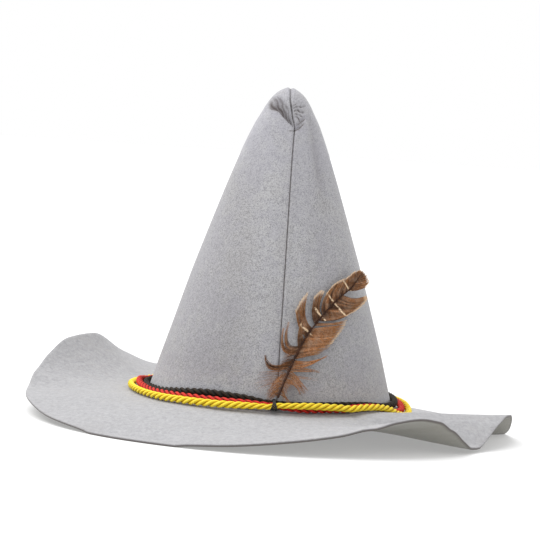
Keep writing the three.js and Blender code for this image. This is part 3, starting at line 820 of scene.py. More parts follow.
# %% Height and place of the felt
dip_depth = 4.2
dip_angle = 9
dip_width = 23


def brim_height(rim_angle, share):
    """Height above the crown's foot: the rim's height times s(2s-1), plus the middle's
    times 4s(1-s), never lower than where the felt lies on the floor. On the right there
    is a dip beside the crown, a bell curve round it, in which the cords lie."""
    middle = read_turning(wave_angle, wave_middle, rim_angle) * way_down
    drop = read_turning(wave_angle, wave_drop, rim_angle) * way_down
    turn_up = read_turning(wave_angle, wave_turn, rim_angle) * upturn_height
    height = (turn_up - drop) * share * (2 * share - 1) + middle * 4 * share * (1 - share)
    dip = dip_depth * hump(rim_angle, dip_angle, dip_width)
    height = height - dip * ease(share, 0, 0.07) * (1 - ease(share, 0.2, 0.45))
    return np.maximum(height, -way_down)


def brim_point(rim_angle, share):
    """A point of the brim's upper face for an angle at the rim and a share of the way
    out. Folds that lean start at a smaller angle at the crown."""
    sweep = read_turning(wave_angle, wave_sweep, rim_angle)
    reach = read_turning(wave_angle, wave_reach, rim_angle) * brim_width
    plan = np.radians(rim_angle - sweep * (1 - share))
    radius = crown_foot_radius + reach * share
    height = brim_height(rim_angle, share)
    return np.stack([radius * np.cos(plan), radius * np.sin(plan), height], axis=-1)


def brim_top(radius, plan_angle):
    """Height of the upper face under a point, by following the fold's lean outwards."""
    rim_angle = plan_angle
    for _ in range(20):
        reach = read_turning(wave_angle, wave_reach, rim_angle) * brim_width
        share = np.clip((radius - crown_foot_radius) / reach, 0, 1)
        rim_angle = plan_angle + read_turning(wave_angle, wave_sweep, rim_angle) * (1 - share)
    return brim_height(rim_angle, share)


print("height beside the crown, in front:", np.round(brim_top(110.0, np.array([-90.0])), 1), "mm")

# %% Upper and lower face of the felt
# the waves on the right are the sharpest, so the columns stand closer there
brim_columns = 440
brim_steps = 54
on_floor = 0.001
fine_angles = np.linspace(-180, 180, 3601)
closeness = 1 + 1.6 * hump(fine_angles, -18, 38)
counted = np.concatenate([[0], np.cumsum((closeness[:-1] + closeness[1:]) / 2)])
wanted = np.linspace(0, counted[-1], brim_columns, endpoint=False)
rim_angles = np.interp(wanted, counted, fine_angles)[None, :]
shares = np.linspace(0, 1, brim_steps)[:, None]
upper = brim_point(rim_angles, shares)
outward = surface_normals(upper)
outward = outward * np.sign(outward[..., 2:3])
resting = upper[..., 2:3] <= on_floor - way_down
outward = np.where(resting, np.array([0, 0, 1.0]), outward)
lower = upper - outward * felt_wall
lower[..., 2] = np.maximum(lower[..., 2], -foot_lift)
rim_heights = upper[-1, :, 2] + foot_lift
print("rim's height in mm, lowest and highest:", np.round([rim_heights.min(), rim_heights.max()], 1))

# %% Edge and mouth of the felt
edge_bulge = 0.55
edge_turns = np.radians([55, 25, 0, -25, -55])[:, None, None]
# painted shade on the cut edge, row by row from its upper to its lower side
edge_shade = [0.15, 0.5, 0.78, 0.8, 0.75]
rim_out = upper[-1] - upper[-2]
rim_out = rim_out / np.linalg.norm(rim_out, axis=-1, keepdims=True)
rim_middle = (upper[-1] + lower[-1]) / 2
rim_half = (upper[-1] - lower[-1]) / 2
edge = rim_middle + rim_half * np.sin(edge_turns) + rim_out * edge_bulge * np.cos(edge_turns)
mouth_top = upper[:1] * to_opening
mouth_low = mouth_top - np.array([0, 0, felt_wall])
brim_grid = np.concatenate([mouth_top, upper, edge, lower[::-1], mouth_low])
brim_rows = len(brim_grid)
print("brim grid", brim_grid.shape[:2])

# %% Make the brim
edge_first = 1 + brim_steps
edge_after = edge_first + len(edge_shade)
row_shade = np.zeros(brim_rows)
# painted shade on the cut edge and on the rim row of the lower face
row_shade[edge_first:edge_after] = edge_shade
row_shade[edge_after] = 0.6
row_under = (np.arange(brim_rows) > edge_first + 2).astype(float)
brim_values = {
    "under": np.repeat(row_under, brim_columns),
    "painted_shade_and_seam": np.repeat(row_shade, brim_columns),
}
brim_piece = make_piece(
    "brim_felt", brim_grid.reshape(-1, 3) + foot_centre,
    [grid_faces(brim_rows, brim_columns, loop_rows=True, loop_columns=True)],
    brim_felt, "brim", values=brim_values)

# %% [markdown]
# ## The cords
#
# A cord is laid from three strands. Cut across, its outline is three circles that lean on
# each other, and that outline turns as it goes along. The surface is therefore one sweep:
# the radius in a direction is the reach of the nearest strand's circle, and the columns
# of the grid turn with the strands, so that each groove is one sharp line of points. The
# yellow cord is laid the other way round from the black and the red one. Where the cords
# lie is a table of places chosen from the photograph, going round the crown.

# %% Route of the cords
cord_diameter = 6.4
# angle, yellow out and up, red out and up, black out and up, girth
cord_route = np.array([
    [-180, 2.34, 0.5, 1.45, 0.9, 0.54, 0.52, 0.84],
    [-172, 2.35, 0.5, 1.45, 0.8, 0.52, 0.52, 0.85],
    [-164, 2.36, 0.5, 1.44, 0.7, 0.52, 0.52, 0.85],
    [-150, 2.38, 0.5, 1.44, 0.56, 0.52, 0.56, 0.86],
    [-134, 2.4, 0.52, 1.44, 0.64, 0.54, 0.93, 0.92],
    [-116, 2.38, 0.6, 1.42, 0.72, 0.54, 1.24, 0.94],
    [-102, 2.33, 0.76, 1.39, 0.78, 0.54, 1.1, 0.9],
    [-90, 2.27, 0.88, 1.42, 0.8, 0.6, 0.8, 0.72],
    [-86, 2.27, 1.06, 1.42, 0.66, 0.6, 0.76, 0.72],
    [-74, 2.28, 1.2, 1.42, 0.5, 0.54, 0.64, 0.88],
    [-62, 2.32, 1.0, 1.43, 0.5, 0.54, 0.66, 0.89],
    [-50, 2.37, 0.72, 1.44, 0.5, 0.53, 0.6, 0.88],
    [-36, 2.4, 0.5, 1.44, 0.5, 0.52, 0.54, 0.85],
    [-20, 2.38, 0.48, 1.43, 0.5, 0.52, 0.54, 0.84],
    [-6, 2.35, 0.64, 1.44, 0.54, 0.52, 0.6, 0.89],
    [10, 2.24, 0.92, 1.4, 0.68, 0.52, 0.7, 0.9],
    [26, 2.26, 0.86, 1.42, 0.58, 0.52, 0.68, 0.9],
    [45, 2.34, 0.56, 1.43, 0.54, 0.52, 0.62, 0.84],
    [135, 2.34, 0.5, 1.43, 0.5, 0.52, 0.54, 0.84],
    [158, 2.34, 0.5, 1.43, 0.52, 0.52, 0.52, 0.84],
    [169, 2.34, 0.5, 1.44, 0.7, 0.54, 0.52, 0.84],
])
route_angle = cord_route[:, 0]
route_girth = cord_route[:, 7]
route_columns = {"yellow": (1, 2), "red": (3, 4), "black": (5, 6)}


def cord_point(colour, angle):
    """Middle of a cord at an angle round the crown, standing off its wall and above the
    brim by the table's shares of the cord's diameter."""
    out_column, up_column = route_columns[colour]
    out = read_turning(route_angle, cord_route[:, out_column], angle) * cord_diameter
    up = read_turning(route_angle, cord_route[:, up_column], angle) * cord_diameter
    height = brim_top(crown_foot_radius + out, angle) + up
    radius = crown_radius(height) + out
    turn_angle = np.radians(angle)
    return np.stack([radius * np.cos(turn_angle), radius * np.sin(turn_angle), height], axis=-1)


def cord_radius(angle):
    """Half the cord's thickness, which is less where it is tied or pressed."""
    return read_turning(route_angle, route_girth, angle) * cord_diameter / 2


for colour in route_columns:
    print(colour, "cord in front, in mm:", np.round(cord_point(colour, np.array([-90.0]))[0], 1))

# %% Cut across a cord
# the circles' middles and radii are shares of half the cord's thickness
cord_sides = 30
strand_off = 0.475
strand_reach = 0.495
third = 2 * np.pi / 3
cord_around = np.arange(cord_sides) * 2 * np.pi / cord_sides
off_strand = (cord_around + third / 2) % third - third / 2
laid_outline = strand_off * np.cos(off_strand)
laid_outline = laid_outline + np.sqrt(strand_reach**2 - (strand_off * np.sin(off_strand)) ** 2)
groove_low = laid_outline.min()
groove_height = (laid_outline - groove_low) / (laid_outline.max() - groove_low)
print("outline of a cord, in a groove and on a strand:", np.round([groove_low, laid_outline.max()], 2))


# %% Pattern of a cord
cord_lead = 18.5
cord_steps = 900


def square_to(ahead, helper):
    """Two unit directions square to a path: the cross product of the way ahead with the
    helper, and the cross product of that with the way ahead."""
    side = np.cross(ahead, helper)
    side = side / np.linalg.norm(side, axis=1, keepdims=True)
    above = np.cross(side, ahead)
    return side, above / np.linalg.norm(above, axis=1, keepdims=True)


def cord_pattern(way, twist):
    """For the corners of each face, how far along the cord and how many turns round it."""
    turns = np.arange(cord_sides)[None, :] / cord_sides + twist[:, None] / (2 * np.pi)
    here = turns[:-1]
    after = turns[1:]
    way_here = np.broadcast_to(way[:-1, None], here.shape)
    way_after = np.broadcast_to(way[1:, None], here.shape)
    side = 1 / cord_sides
    corners = [(way_here, here), (way_here, here + side), (way_after, after + side), (way_after, after)]
    return np.stack([np.stack(pair, axis=-1) for pair in corners], axis=2).reshape(-1, 4, 2)


print("a cord has", cord_steps, "rows of", cord_sides, "points and one turn in", cord_lead, "mm")


# %% Lay a cord
def make_cord(colour, hand, finish):
    """The laid outline carried round the crown, turning by one third for each third of
    the lead, so that it closes on itself. Hand is 1 or -1 for the lay."""
    angles = np.linspace(-180, 180, cord_steps, endpoint=False)
    middle = cord_point(colour, angles)
    after = np.roll(middle, -1, axis=0)
    way = np.concatenate([[0], np.cumsum(np.linalg.norm(after - middle, axis=1))])
    thirds = hand * round(3 * way[-1] / cord_lead)
    twist = thirds * third * way / way[-1]
    side, above = square_to(after - np.roll(middle, 1, axis=0), [0, 0, 1])
    uneven = 1 + 0.015 * np.sin(way[:-1, None] * 0.83 + cord_around)
    reach = cord_radius(angles)[:, None] * uneven * laid_outline
    direction = cord_around + twist[:-1, None]
    spoke = side[:, None, :] * np.cos(direction)[..., None]
    spoke = spoke + above[:, None, :] * np.sin(direction)[..., None]
    grid = middle[:, None, :] + spoke * reach[..., None]
    shift = thirds * cord_sides // 3 % cord_sides
    faces = grid_faces(cord_steps, cord_sides, loop_rows=True, loop_columns=True, shift=shift)
    height = np.broadcast_to(groove_height, grid.shape[:2])
    make_piece(
        f"cord_{colour}_rope", grid.reshape(-1, 3) + foot_centre, [faces], finish,
        f"cord_{colour}", uv=[cord_pattern(way, twist)],
        values={"height": height})
    turns = round(abs(thirds) / 3, 2)
    print(colour, "cord is", round(way[-1]), "mm round, with", turns, "turns of lay")


make_cord("yellow", 1, yellow_yarn)
make_cord("red", -1, red_yarn)
make_cord("black", -1, black_yarn)

# %% [markdown]
# ## The thread tie
#
# A few turns of black thread draw the three cords together in front. The thread follows
# the outline of the three cords, pulled tight like a rubber band, and wanders from side to
# side as it goes round, so that its turns cross in front. It wanders least on top, where
# the turns are drawn into a narrow bundle.

# %% Thread finish
thread = Finish("black_thread")
thread_twist = thread.noise(0.5, 2, 0.5)
thread_colour = thread.mix(thread_twist, (0.008, 0.007, 0.006, 1), (0.03, 0.028, 0.026, 1))
thread.feed(thread.shader, {
    "Base Color": thread_colour,
    "Roughness": 0.75,
    "Normal": thread.bump(thread_twist, 0.1, 0.6),
})
print("thread's finish:", thread.material.name)

# %% Wind the thread
tie_angle = -88
tie_turns = 7
tie_sways = 9
thread_radius = 0.34
thread_sides = 8
thread_gap = 0.06
tie_spoke = math.radians(tie_angle)
tie_away = np.array([math.cos(tie_spoke), math.sin(tie_spoke), 0])
tie_along = np.array([-tie_away[1], tie_away[0], 0])
tie_place = np.array([float(tie_angle)])
tie_middles = np.stack([cord_point(colour, tie_place)[0] for colour in route_columns])
tie_flat = np.stack([tie_middles @ tie_away, tie_middles[:, 2]], axis=-1)
tie_centre = tie_flat.mean(axis=0)
hull_radius = float(cord_radius(tie_place)[0]) + thread_radius + thread_gap


def band_reach(turn_angle):
    """How far the three cords reach in a direction, from the middle between them."""
    direction = np.stack([np.cos(turn_angle), np.sin(turn_angle)], axis=-1)
    return ((tie_flat - tie_centre) @ direction.T).max(axis=0) + hull_radius


def band_point(turn_angle):
    """A point of a tight band round the cords: the reach in a direction along it, and the
    reach's slope square to it."""
    step = 0.02
    reach = band_reach(turn_angle)
    slope = (band_reach(turn_angle + step) - band_reach(turn_angle - step)) / (2 * step)
    x = reach * np.cos(turn_angle) - slope * np.sin(turn_angle)
    y = reach * np.sin(turn_angle) + slope * np.cos(turn_angle)
    return x + tie_centre[0], y + tie_centre[1]


print("the band's reach outwards and up:", np.round(band_reach(np.radians([0, 90])), 1), "mm")


# %% Sweep a tube
def sweep_tube(path, radius, sides, closed):
    """Rings of a round tube along a path, standing square to it."""
    if closed:
        ahead = np.roll(path, -1, axis=0) - np.roll(path, 1, axis=0)
    else:
        ahead = np.gradient(path, axis=0)
    side, above = square_to(ahead, [0.31, 0.17, 0.93])
    around = np.arange(sides) * 2 * np.pi / sides
    ring = side[:, None, :] * np.cos(around)[None, :, None]
    ring = ring + above[:, None, :] * np.sin(around)[None, :, None]
    return path[:, None, :] + ring * np.reshape(radius, (-1, 1, 1))


straight = np.array([[0, 0, 0], [0, 0, 10.0]])
print("first ring of a tube with 4 sides:", np.round(sweep_tube(straight, 1, 4, False)[0], 2).tolist())


# %% Make the thread
tie_steps = 420
tie_share = np.arange(tie_steps) / tie_steps
band_angle = 2 * np.pi * tie_turns * tie_share
band_x, band_y = band_point(band_angle)
sway_reach = 1.7 - 0.9 * np.sin(band_angle)
sway_along = sway_reach * np.sin(2 * np.pi * tie_sways * tie_share + 0.6)
# the turns lie on each other, so each point stands off by up to two layers
layer = 0.16 * (1 + np.sin(2 * np.pi * (tie_turns + 4) * tie_share))
out_x = band_x + layer * np.cos(band_angle)
out_y = band_y + layer * np.sin(band_angle)
tie_path = out_x[:, None] * tie_away + out_y[:, None] * np.array([0, 0, 1.0])
tie_path = tie_path + sway_along[:, None] * tie_along
tie_grid = sweep_tube(tie_path, thread_radius, thread_sides, True)
make_piece(
    "thread_wraps", tie_grid.reshape(-1, 3) + foot_centre,
    [grid_faces(tie_steps, thread_sides, loop_rows=True, loop_columns=True)],
    thread.material, "thread_tie")

# %% [markdown]
# ## The feather's own coordinates
#
# A feather is easiest to draw on its own sheet: a length along the quill, a distance
# across it and a height above the sheet. The quill's line is a curve through a few
# points that lie a little off the crown's wall, and the sheet stands square to the
# crown there. Past the crown's edge it goes straight on.

# %% The quill's line
feather_length = 129
quill_foot_angle = -86.3
leave = math.radians(28)
# along, across, up, lift
quill_route = np.array([
    [0, 0, 0, 1.62],
    [0.045, 0.012, 0.042, 1.44],
    [0.11, 0.033, 0.1, 0.9],
    [0.2, 0.064, 0.178, 0.36],
    [0.39, 0.138, 0.344, 0.3],
    [0.55, 0.222, 0.465, 0.32],
    [0.72, 0.319, 0.58, 0.36],
    [0.86, 0.402, 0.652, 0.42],
    [1, 0.462, 0.75, 0.5],
])
foot_across = crown_foot_radius * math.cos(math.radians(quill_foot_angle))
yellow_height = float(cord_point("yellow", np.array([quill_foot_angle]))[0, 2])
foot_height = yellow_height + 1.5 * cord_diameter / 2
route_across = foot_across + quill_route[:, 1] * feather_length
route_height = foot_height + quill_route[:, 2] * feather_length
stand_off = crown_radius(route_height) + quill_route[:, 3] * cord_diameter
leave_across = stand_off * math.sin(leave)
on_crown = -np.sqrt(np.maximum(stand_off**2 - route_across**2, 0))
past_crown = -stand_off * math.cos(leave) + (route_across - leave_across) * math.tan(leave)
route_depth = np.where(route_across < leave_across, on_crown, past_crown)
quill_knots = np.stack([route_across, route_depth, route_height], axis=-1)
print("quill's first and last knot in mm:", np.round(quill_knots[[0, -1]], 1).tolist())

# %% A smooth line through the knots
before_first = 2 * quill_knots[0] - quill_knots[1]
after_last = 2 * quill_knots[-1] - quill_knots[-2]
quill_knots = np.concatenate([[before_first], quill_knots, [after_last]])
knot_way = np.concatenate([[0], np.cumsum(np.linalg.norm(np.diff(quill_knots, axis=0), axis=1))])
dense = np.linspace(knot_way[1], knot_way[-2], 400)
quill_line = np.stack([read_table(knot_way, quill_knots[:, k], dense) for k in range(3)], axis=-1)
line_steps = np.linalg.norm(np.diff(quill_line, axis=0), axis=1)
line_way = np.concatenate([[0], np.cumsum(line_steps)])
line_way = line_way * feather_length / line_way[-1]
line_ahead = np.gradient(quill_line, axis=0)
line_ahead = line_ahead / np.linalg.norm(line_ahead, axis=1, keepdims=True)
print("quill's line is", round(float(line_steps.sum()), 1), "mm long")


def feather_point(along, across, proud):
    """A point of the feather's sheet, all three in millimetres."""
    here = np.clip(along, 0, feather_length)
    middle = np.stack([np.interp(here, line_way, quill_line[:, k]) for k in range(3)], axis=-1)
    ahead = np.stack([np.interp(here, line_way, line_ahead[:, k]) for k in range(3)], axis=-1)
    facing = np.minimum(np.arctan2(middle[..., 0], -middle[..., 1]), leave)
    sideways = np.stack([np.cos(facing), np.sin(facing), np.zeros_like(facing)], axis=-1)
    outward = -np.cross(ahead, sideways)
    outward = outward / np.linalg.norm(outward, axis=-1, keepdims=True)
    right = np.cross(ahead, outward)
    point = middle + ahead * (along - here)[..., None] + right * across[..., None]
    return point + outward * proud[..., None]


# %% [markdown]
# ## Barbs in bundles
#
# The vane of a feather is made of barbs, hundreds of fine side branches. Old feathers
# split into lobes and loose curls. Each bundle is drawn with a few guide barbs, and the
# barbs between them follow in step. A barb is a quadratic curve through its root, its
# middle and its tip, and a flat strip with pointed section is swept along it. Wider,
# closer strips make the closed vane, thin ones with gaps make the fluff.

# %% The guide barbs
# of each guide: root along the quill, middle along and across, tip along and across.
bundles = {
    "right_low": [
        [37.5, 43.5, 6.6, 50.4, 14.9], [45, 53.0, 10.0, 62.6, 19.0], [52, 61.5, 11.2, 72.0, 19.3],
        [60, 70.0, 11.0, 81.1, 19.3], [65.6, 76.6, 9.3, 88.0, 18.2]],
    "right_low_edge": [[68.6, 77.6, 8.7, 88.6, 17.8], [72.0, 80.6, 9.6, 92.0, 16.7]],
    "right_middle": [
        [74.2, 84.4, 9.6, 95.6, 14.4], [82, 91.8, 9.6, 106.2, 15.9], [93, 101.4, 9.2, 113.0, 15.9],
        [101.4, 107.4, 8.4, 117.0, 14.9], [104.4, 109.6, 6.6, 117.4, 13.0]],
    "right_top": [
        [111, 116.6, 4.6, 122.6, 8.9], [115, 120.6, 5.2, 126.6, 8.9],
        [119.5, 124.6, 4.4, 129.2, 7.0], [123.4, 127.0, 2.8, 130.6, 4.0]],
    "left_top": [
        [80.2, 84.6, -5.4, 94.6, -9.5], [86, 93.0, -6.2, 103.6, -11.2],
        [96, 102.4, -5.7, 111.6, -10.1], [107, 113.0, -4.6, 121.0, -7.5],
        [117, 121.2, -3.6, 126.2, -5.9], [124, 127.4, -2.2, 130.2, -2.6]],
    "top": [
        [123.6, 127.2, -2.0, 130.4, -2.2], [125, 128.4, -0.6, 131.4, 0.2],
        [124.6, 128.2, 1.4, 131.0, 2.6], [123.4, 127.4, 2.6, 130.4, 4.4]],
    "left_middle": [
        [70, 74.6, -7.8, 84.6, -15.4], [75, 79.6, -7.8, 91.4, -14.8], [79, 83.0, -7.0, 93.4, -12.2]],
    "left_low": [
        [57, 61.0, -10.4, 67.4, -19.4], [61, 64.8, -11.2, 75.0, -21.6],
        [66, 69.4, -11.2, 82.4, -21.8]],
    "left_inner": [[46, 51.0, -4.0, 60.6, -8.9], [54, 58.0, -4.4, 63.6, -9.8]],
    "left_curl_high": [[45.6, 42.6, -9.6, 57.4, -18.2], [49.6, 46.4, -9.4, 58.4, -17.4]],
    "left_curl": [[43.5, 39.4, -10.4, 53.0, -19.0], [46.4, 42.0, -10.0, 53.2, -18.4]],
    "left_hook": [[33, 22.0, -12.4, 29.6, -21.8], [39, 26.6, -10.8, 30.2, -21.0]],
    "left_short": [[26, 27.0, -3.2, 23.0, -7.6], [34, 33.4, -3.4, 27.0, -8.8], [45, 43.6, -3.0, 39.0, -8.6]],
    "right_wisp_high": [[31, 37.0, 11.2, 54.0, 21.8], [37, 41.8, 11.2, 50.6, 20.4]],
    "right_wisp": [[26, 31.0, 8.0, 36.4, 22.4], [29.6, 34.0, 8.2, 37.4, 20.6]],
    "right_wisp_low": [[22, 25.0, 9.0, 31.0, 24.0], [23, 26.4, 9.2, 30.0, 21.0]],
    "right_fluff": [[14, 16.0, 8.0, 8.0, 15.6], [20, 20.6, 8.0, 11.0, 17.6], [27, 25.4, 7.4, 15.4, 19.6]],
    "right_down": [[5, 8.0, 1.8, 1.0, 5.0], [12, 14.6, 3.0, 12.0, 6.6], [20, 19.6, 4.6, 17.0, 10.6]],
    "right_foot": [[3, 3.0, 2.6, 0.0, 9.0], [6, 3.4, 4.4, -2.0, 12.4], [9, 4.6, 3.0, -3.0, 7.6]],
    "left_fluff": [[8, 10.0, -6.6, 0.0, -16.0], [15, 16.0, -8.0, 8.0, -20.6], [25, 23.6, -7.4, 15.4, -18.6]],
    "left_foot": [[3, 2.0, -2.2, -4.0, -5.0], [7, 6.0, -2.4, 0.0, -6.4], [12, 11.0, -2.0, 6.0, -5.4]],
    "left_down": [[5, 4.6, -3.4, -4.0, -7.0], [14, 13.0, -3.6, 1.0, -9.0], [24, 22.0, -3.2, 12.0, -7.6]],
}
print("bundles:", len(bundles))

# %% How the bundles are filled
# barbs, width in mm, tone from dark 0 to orange 1, lift of the tips in mm, and how untidy
fillings = {
    "right_low": [100, 0.66, 0.74, 1.4, 0.5],
    "right_low_edge": [12, 0.5, 0.6, 1.8, 0.5],
    "right_middle": [100, 0.62, 0.38, 1.6, 0.4],
    "right_top": [56, 0.55, 0.55, 2.0, 0.25],
    "left_top": [132, 0.56, 0.42, 1.6, 0.4],
    "top": [30, 0.5, 0.6, 1.6, 0.2],
    "left_middle": [40, 0.55, 0.28, 2.0, 0.4],
    "left_low": [42, 0.6, 0.34, 2.4, 0.6],
    "left_inner": [24, 0.5, 0.22, 1.2, 0.5],
    "left_curl_high": [12, 0.42, 0.4, 2.2, 0.5],
    "left_curl": [11, 0.4, 0.45, 2.2, 0.6],
    "left_hook": [18, 0.42, 0.1, 2.0, 0.5],
    "left_short": [48, 0.3, 0.4, 1.0, 0.9],
    "right_wisp_high": [20, 0.42, 0.8, 1.6, 0.7],
    "right_wisp": [12, 0.36, 0.85, 1.4, 0.6],
    "right_wisp_low": [5, 0.24, 0.95, 1.0, 1.0],
    "right_fluff": [58, 0.26, 0.8, 0.9, 1.5],
    "right_down": [44, 0.24, 0.85, 0.6, 1.4],
    "right_foot": [26, 0.2, 0.75, 0.5, 1.6],
    "left_fluff": [38, 0.15, 0.7, 0.7, 2.2],
    "left_foot": [32, 0.26, 0.62, 0.4, 1.6],
    "left_down": [60, 0.26, 0.72, 0.6, 1.8],
}
print("barbs to grow:", sum(filling[0] for filling in fillings.values()))

# %% Curves of the barbs
barb_steps = 9
chance = np.random.default_rng(7)


def barb_curves(guides, count, lift, untidy):
    """Along, across and rise of each barb at each step: a quadratic curve through the
    root, the middle and the tip, whose places are read between the guides."""
    at = np.linspace(0, len(guides) - 1, count)
    root, mid_along, mid_across, tip_along, tip_across = [
        read_table(np.arange(len(guides)), guides[:, k], at) if len(guides) > 2
        else np.interp(at, [0, 1], guides[:, k]) for k in range(5)]
    mid_along = mid_along + chance.normal(0, 0.25 * untidy, count)
    mid_across = mid_across + chance.normal(0, 0.25 * untidy, count)
    tip_along = tip_along + chance.normal(0, 0.6 * untidy, count)
    tip_across = tip_across + chance.normal(0, 0.5 * untidy, count)
    s = np.linspace(0, 1, barb_steps)[None, :]
    first = (2 * s - 1) * (s - 1)
    second = 4 * s * (1 - s)
    third_part = s * (2 * s - 1)
    along = root[:, None] * first + mid_along[:, None] * second + tip_along[:, None] * third_part
    across = mid_across[:, None] * second + tip_across[:, None] * third_part
    rise = lift * chance.uniform(0.75, 1.25, count)[:, None] * s**1.5
    rise = rise + 0.12 * np.sin(at * 2.4)[:, None] * s + 0.1 * (np.arange(count) % 2)[:, None]
    return along, across, rise


print("each barb is a curve of", barb_steps, "steps")


# %% Strips of the barbs
barb_thickness = 0.18
root_slide = 2.4


def barb_strips(along, across, rise, width):
    """Four corners of a flat, pointed section at each step of each barb: half the width
    to both sides and half the thickness up and down, both less towards the tip."""
    s = np.linspace(0, 1, barb_steps)[None, :]
    run_along = np.gradient(along, axis=1)
    run_across = np.gradient(across, axis=1)
    length = np.hypot(run_along, run_across)
    half = width / 2 * (0.55 + 0.45 * ease(s, 0, 0.2)) * (1 - 0.8 * ease(s, 0.55, 1))
    side_along = -run_across / length * half
    side_across = run_along / length * half
    thick = barb_thickness / 2 * (1 - 0.6 * s) * np.ones_like(along)
    strip_along = np.stack([along + side_along, along, along - side_along, along], axis=-1)
    strip_across = np.stack([across + side_across, across, across - side_across, across], axis=-1)
    strip_rise = np.stack([rise, rise + thick, rise, rise - thick], axis=-1)
    return strip_along, strip_across, strip_rise


def grow_bundle(name):
    """Points, place on the sheet, tone and share of the way to the tip of one bundle's
    barbs. The barbs slide down the quill a little, and their colours stay behind."""
    count, width, tone, lift, untidy = fillings[name]
    curves = barb_curves(np.array(bundles[name]), count, lift, untidy)
    along, across, rise = barb_strips(*curves, width)
    points = feather_point(along - root_slide * ease(along, 8, 25), across, rise)
    strand = np.repeat(chance.normal(0, 0.2, count // 3 + 1), 3)[:count]
    strand = strand + chance.normal(0, 0.08, count)
    corners = np.ones(along.shape)
    tones = np.clip(tone + strand, 0, 1)[:, None, None] * corners
    tips = np.linspace(0, 1, barb_steps)[None, :, None] * corners
    return points, np.stack([along, across], axis=-1), tones, tips


print("a barb is", barb_thickness, "mm thick at its root")

# %% Grow the barbs
grown = [grow_bundle(name) for name in bundles]
barb_points, barb_sheet, barb_tones, barb_tips = [np.concatenate(part) for part in zip(*grown)]
barbs = len(barb_points)
print("barbs:", barbs)

# %% Faces of the barbs
one_barb = grid_faces(barb_steps, 4, loop_columns=True)
ends = np.array([[3, 2, 1, 0], [(barb_steps - 1) * 4 + k for k in range(4)]])
one_barb = np.concatenate([one_barb, ends])
starts = np.arange(barbs)[:, None, None] * barb_steps * 4
barb_faces = (one_barb[None] + starts).reshape(-1, 4)
flat_sheet = barb_sheet.reshape(-1, 2)
print("faces of the vane:", len(barb_faces))

# %% [markdown]
# ## The feather's colours
#
# The feather is brown, darker on the left and near the quill, orange and thin at its foot,
# with narrow cream bars straight across it and a pale edge along its tips. The bars lie
# at fixed lengths along the quill, so the material reads the feather's own coordinates,
# which the mesh carries as its UV map. Each few strands have a tone of their own, and
# clouds, flecks and dusty patches break up the brown.

# %% Brown of the vane
dark_barb = (0.036, 0.015, 0.007, 1)
orange_barb = (0.40, 0.165, 0.062, 1)


def vane_brown(vane, along, side, cloud, fleck):
    """Dark to orange brown by the strand's tone, with pale clouds, dark and pale flecks,
    deeper beside the quill, more orange towards the tips and dusty in patches."""
    tone = vane.value_of("tone")
    tip = vane.value_of("tip")
    brown = vane.mix(tone, dark_barb, orange_barb)
    brown = vane.mix(cloud.between(0.4, 0.7) * tone * 0.7, brown, (0.42, 0.26, 0.16, 1))
    brown = vane.mix(fleck.between(0.47, 0.66) * 0.7, brown, (0.035, 0.016, 0.008, 1))
    pale = (1 - fleck).between(0.54, 0.68) * tone.between(0.1, 0.5) * 0.5
    brown = vane.mix(pale, brown, (0.56, 0.34, 0.20, 1))
    by_quill = (1 - side.between(0.4, 6.5)) * (0.85 - tone * 0.6)
    brown = vane.mix(by_quill, brown, (0.040, 0.018, 0.010, 1))
    outer = tip.between(0.5, 0.92) * along.between(40, 50) * 0.4
    brown = vane.mix(outer, brown, (0.42, 0.20, 0.075, 1))
    dusty = (cloud * 0.5 + fleck * 0.5).between(0.46, 0.62) * along.between(40, 48)
    return vane.mix(dusty * 0.35, brown, (0.30, 0.215, 0.16, 1))


print("barbs go from the brown", dark_barb[:3], "to", orange_barb[:3])

# %% Cream bars
# each bar's length along the quill and how far it reaches to the left and to the right
cream_bars = [(61.8, -9.1, 3.4), (78.3, -8.9, 5.4), (94.4, -7.4, 13.0), (111.8, -9.9, 2.8)]
bar_end = 0.8


def vane_bars(vane, place, across):
    """How much of a cream bar a point has: one near the bar's length along the quill,
    between its ends, and broken up by noise."""
    bars = 0
    for bar, leftmost, rightmost in cream_bars:
        off = (place - bar).maths("ABSOLUTE")
        from_left = across.between(leftmost - bar_end, leftmost)
        to_right = 1 - across.between(rightmost, rightmost + bar_end)
        bars = (1 - off.between(0.3, 1.05)) * (from_left * to_right) + bars
    return bars * vane.noise(2.2, 2, 0.5).between(0.36, 0.5)


print("cream bars at", [bar[0] for bar in cream_bars], "mm along the quill")


# %% Feather finish
def make_vane_finish():
    """Brown barbs with cream bars that wobble a little, and a pale edge on the tips."""
    vane = Finish("feather_vane")
    along = vane.pattern(0)
    across = vane.pattern(1)
    side = across.maths("ABSOLUTE")
    cloud = vane.noise(4.5, 3, 0.6, 0.6)
    fleck = vane.noise(0.8, 3, 0.65)
    brown = vane_brown(vane, along, side, cloud, fleck)
    wobble = (fleck - 0.5) * 2.2 + (cloud - 0.5) * 2.4
    bars = vane_bars(vane, along + wobble, across) * side.between(0.6, 1.4)
    colour = vane.mix(bars * 0.9, brown, (0.86, 0.66, 0.44, 1))
    edge = vane.value_of("tip").between(0.86, 0.96) * along.between(56, 70) * 0.9
    colour = vane.mix(edge, colour, (0.78, 0.56, 0.35, 1))
    inputs = {
        "Base Color": colour,
        "Roughness": 0.6,
        "Normal": vane.bump(fleck, 0.06, 0.4),
        "Specular IOR Level": 0.15,
    }
    vane.feed(vane.shader, inputs)
    return vane.material


vane_finish = make_vane_finish()
print("nodes of the feather's finish:", len(vane_finish.node_tree.nodes))

# %% Make the vane
make_piece(
    "feather_vane", barb_points.reshape(-1, 3) + foot_centre, [barb_faces], vane_finish,
    "feather", uv=[flat_sheet[barb_faces]],
    values={"tone": barb_tones, "tip": barb_tips})

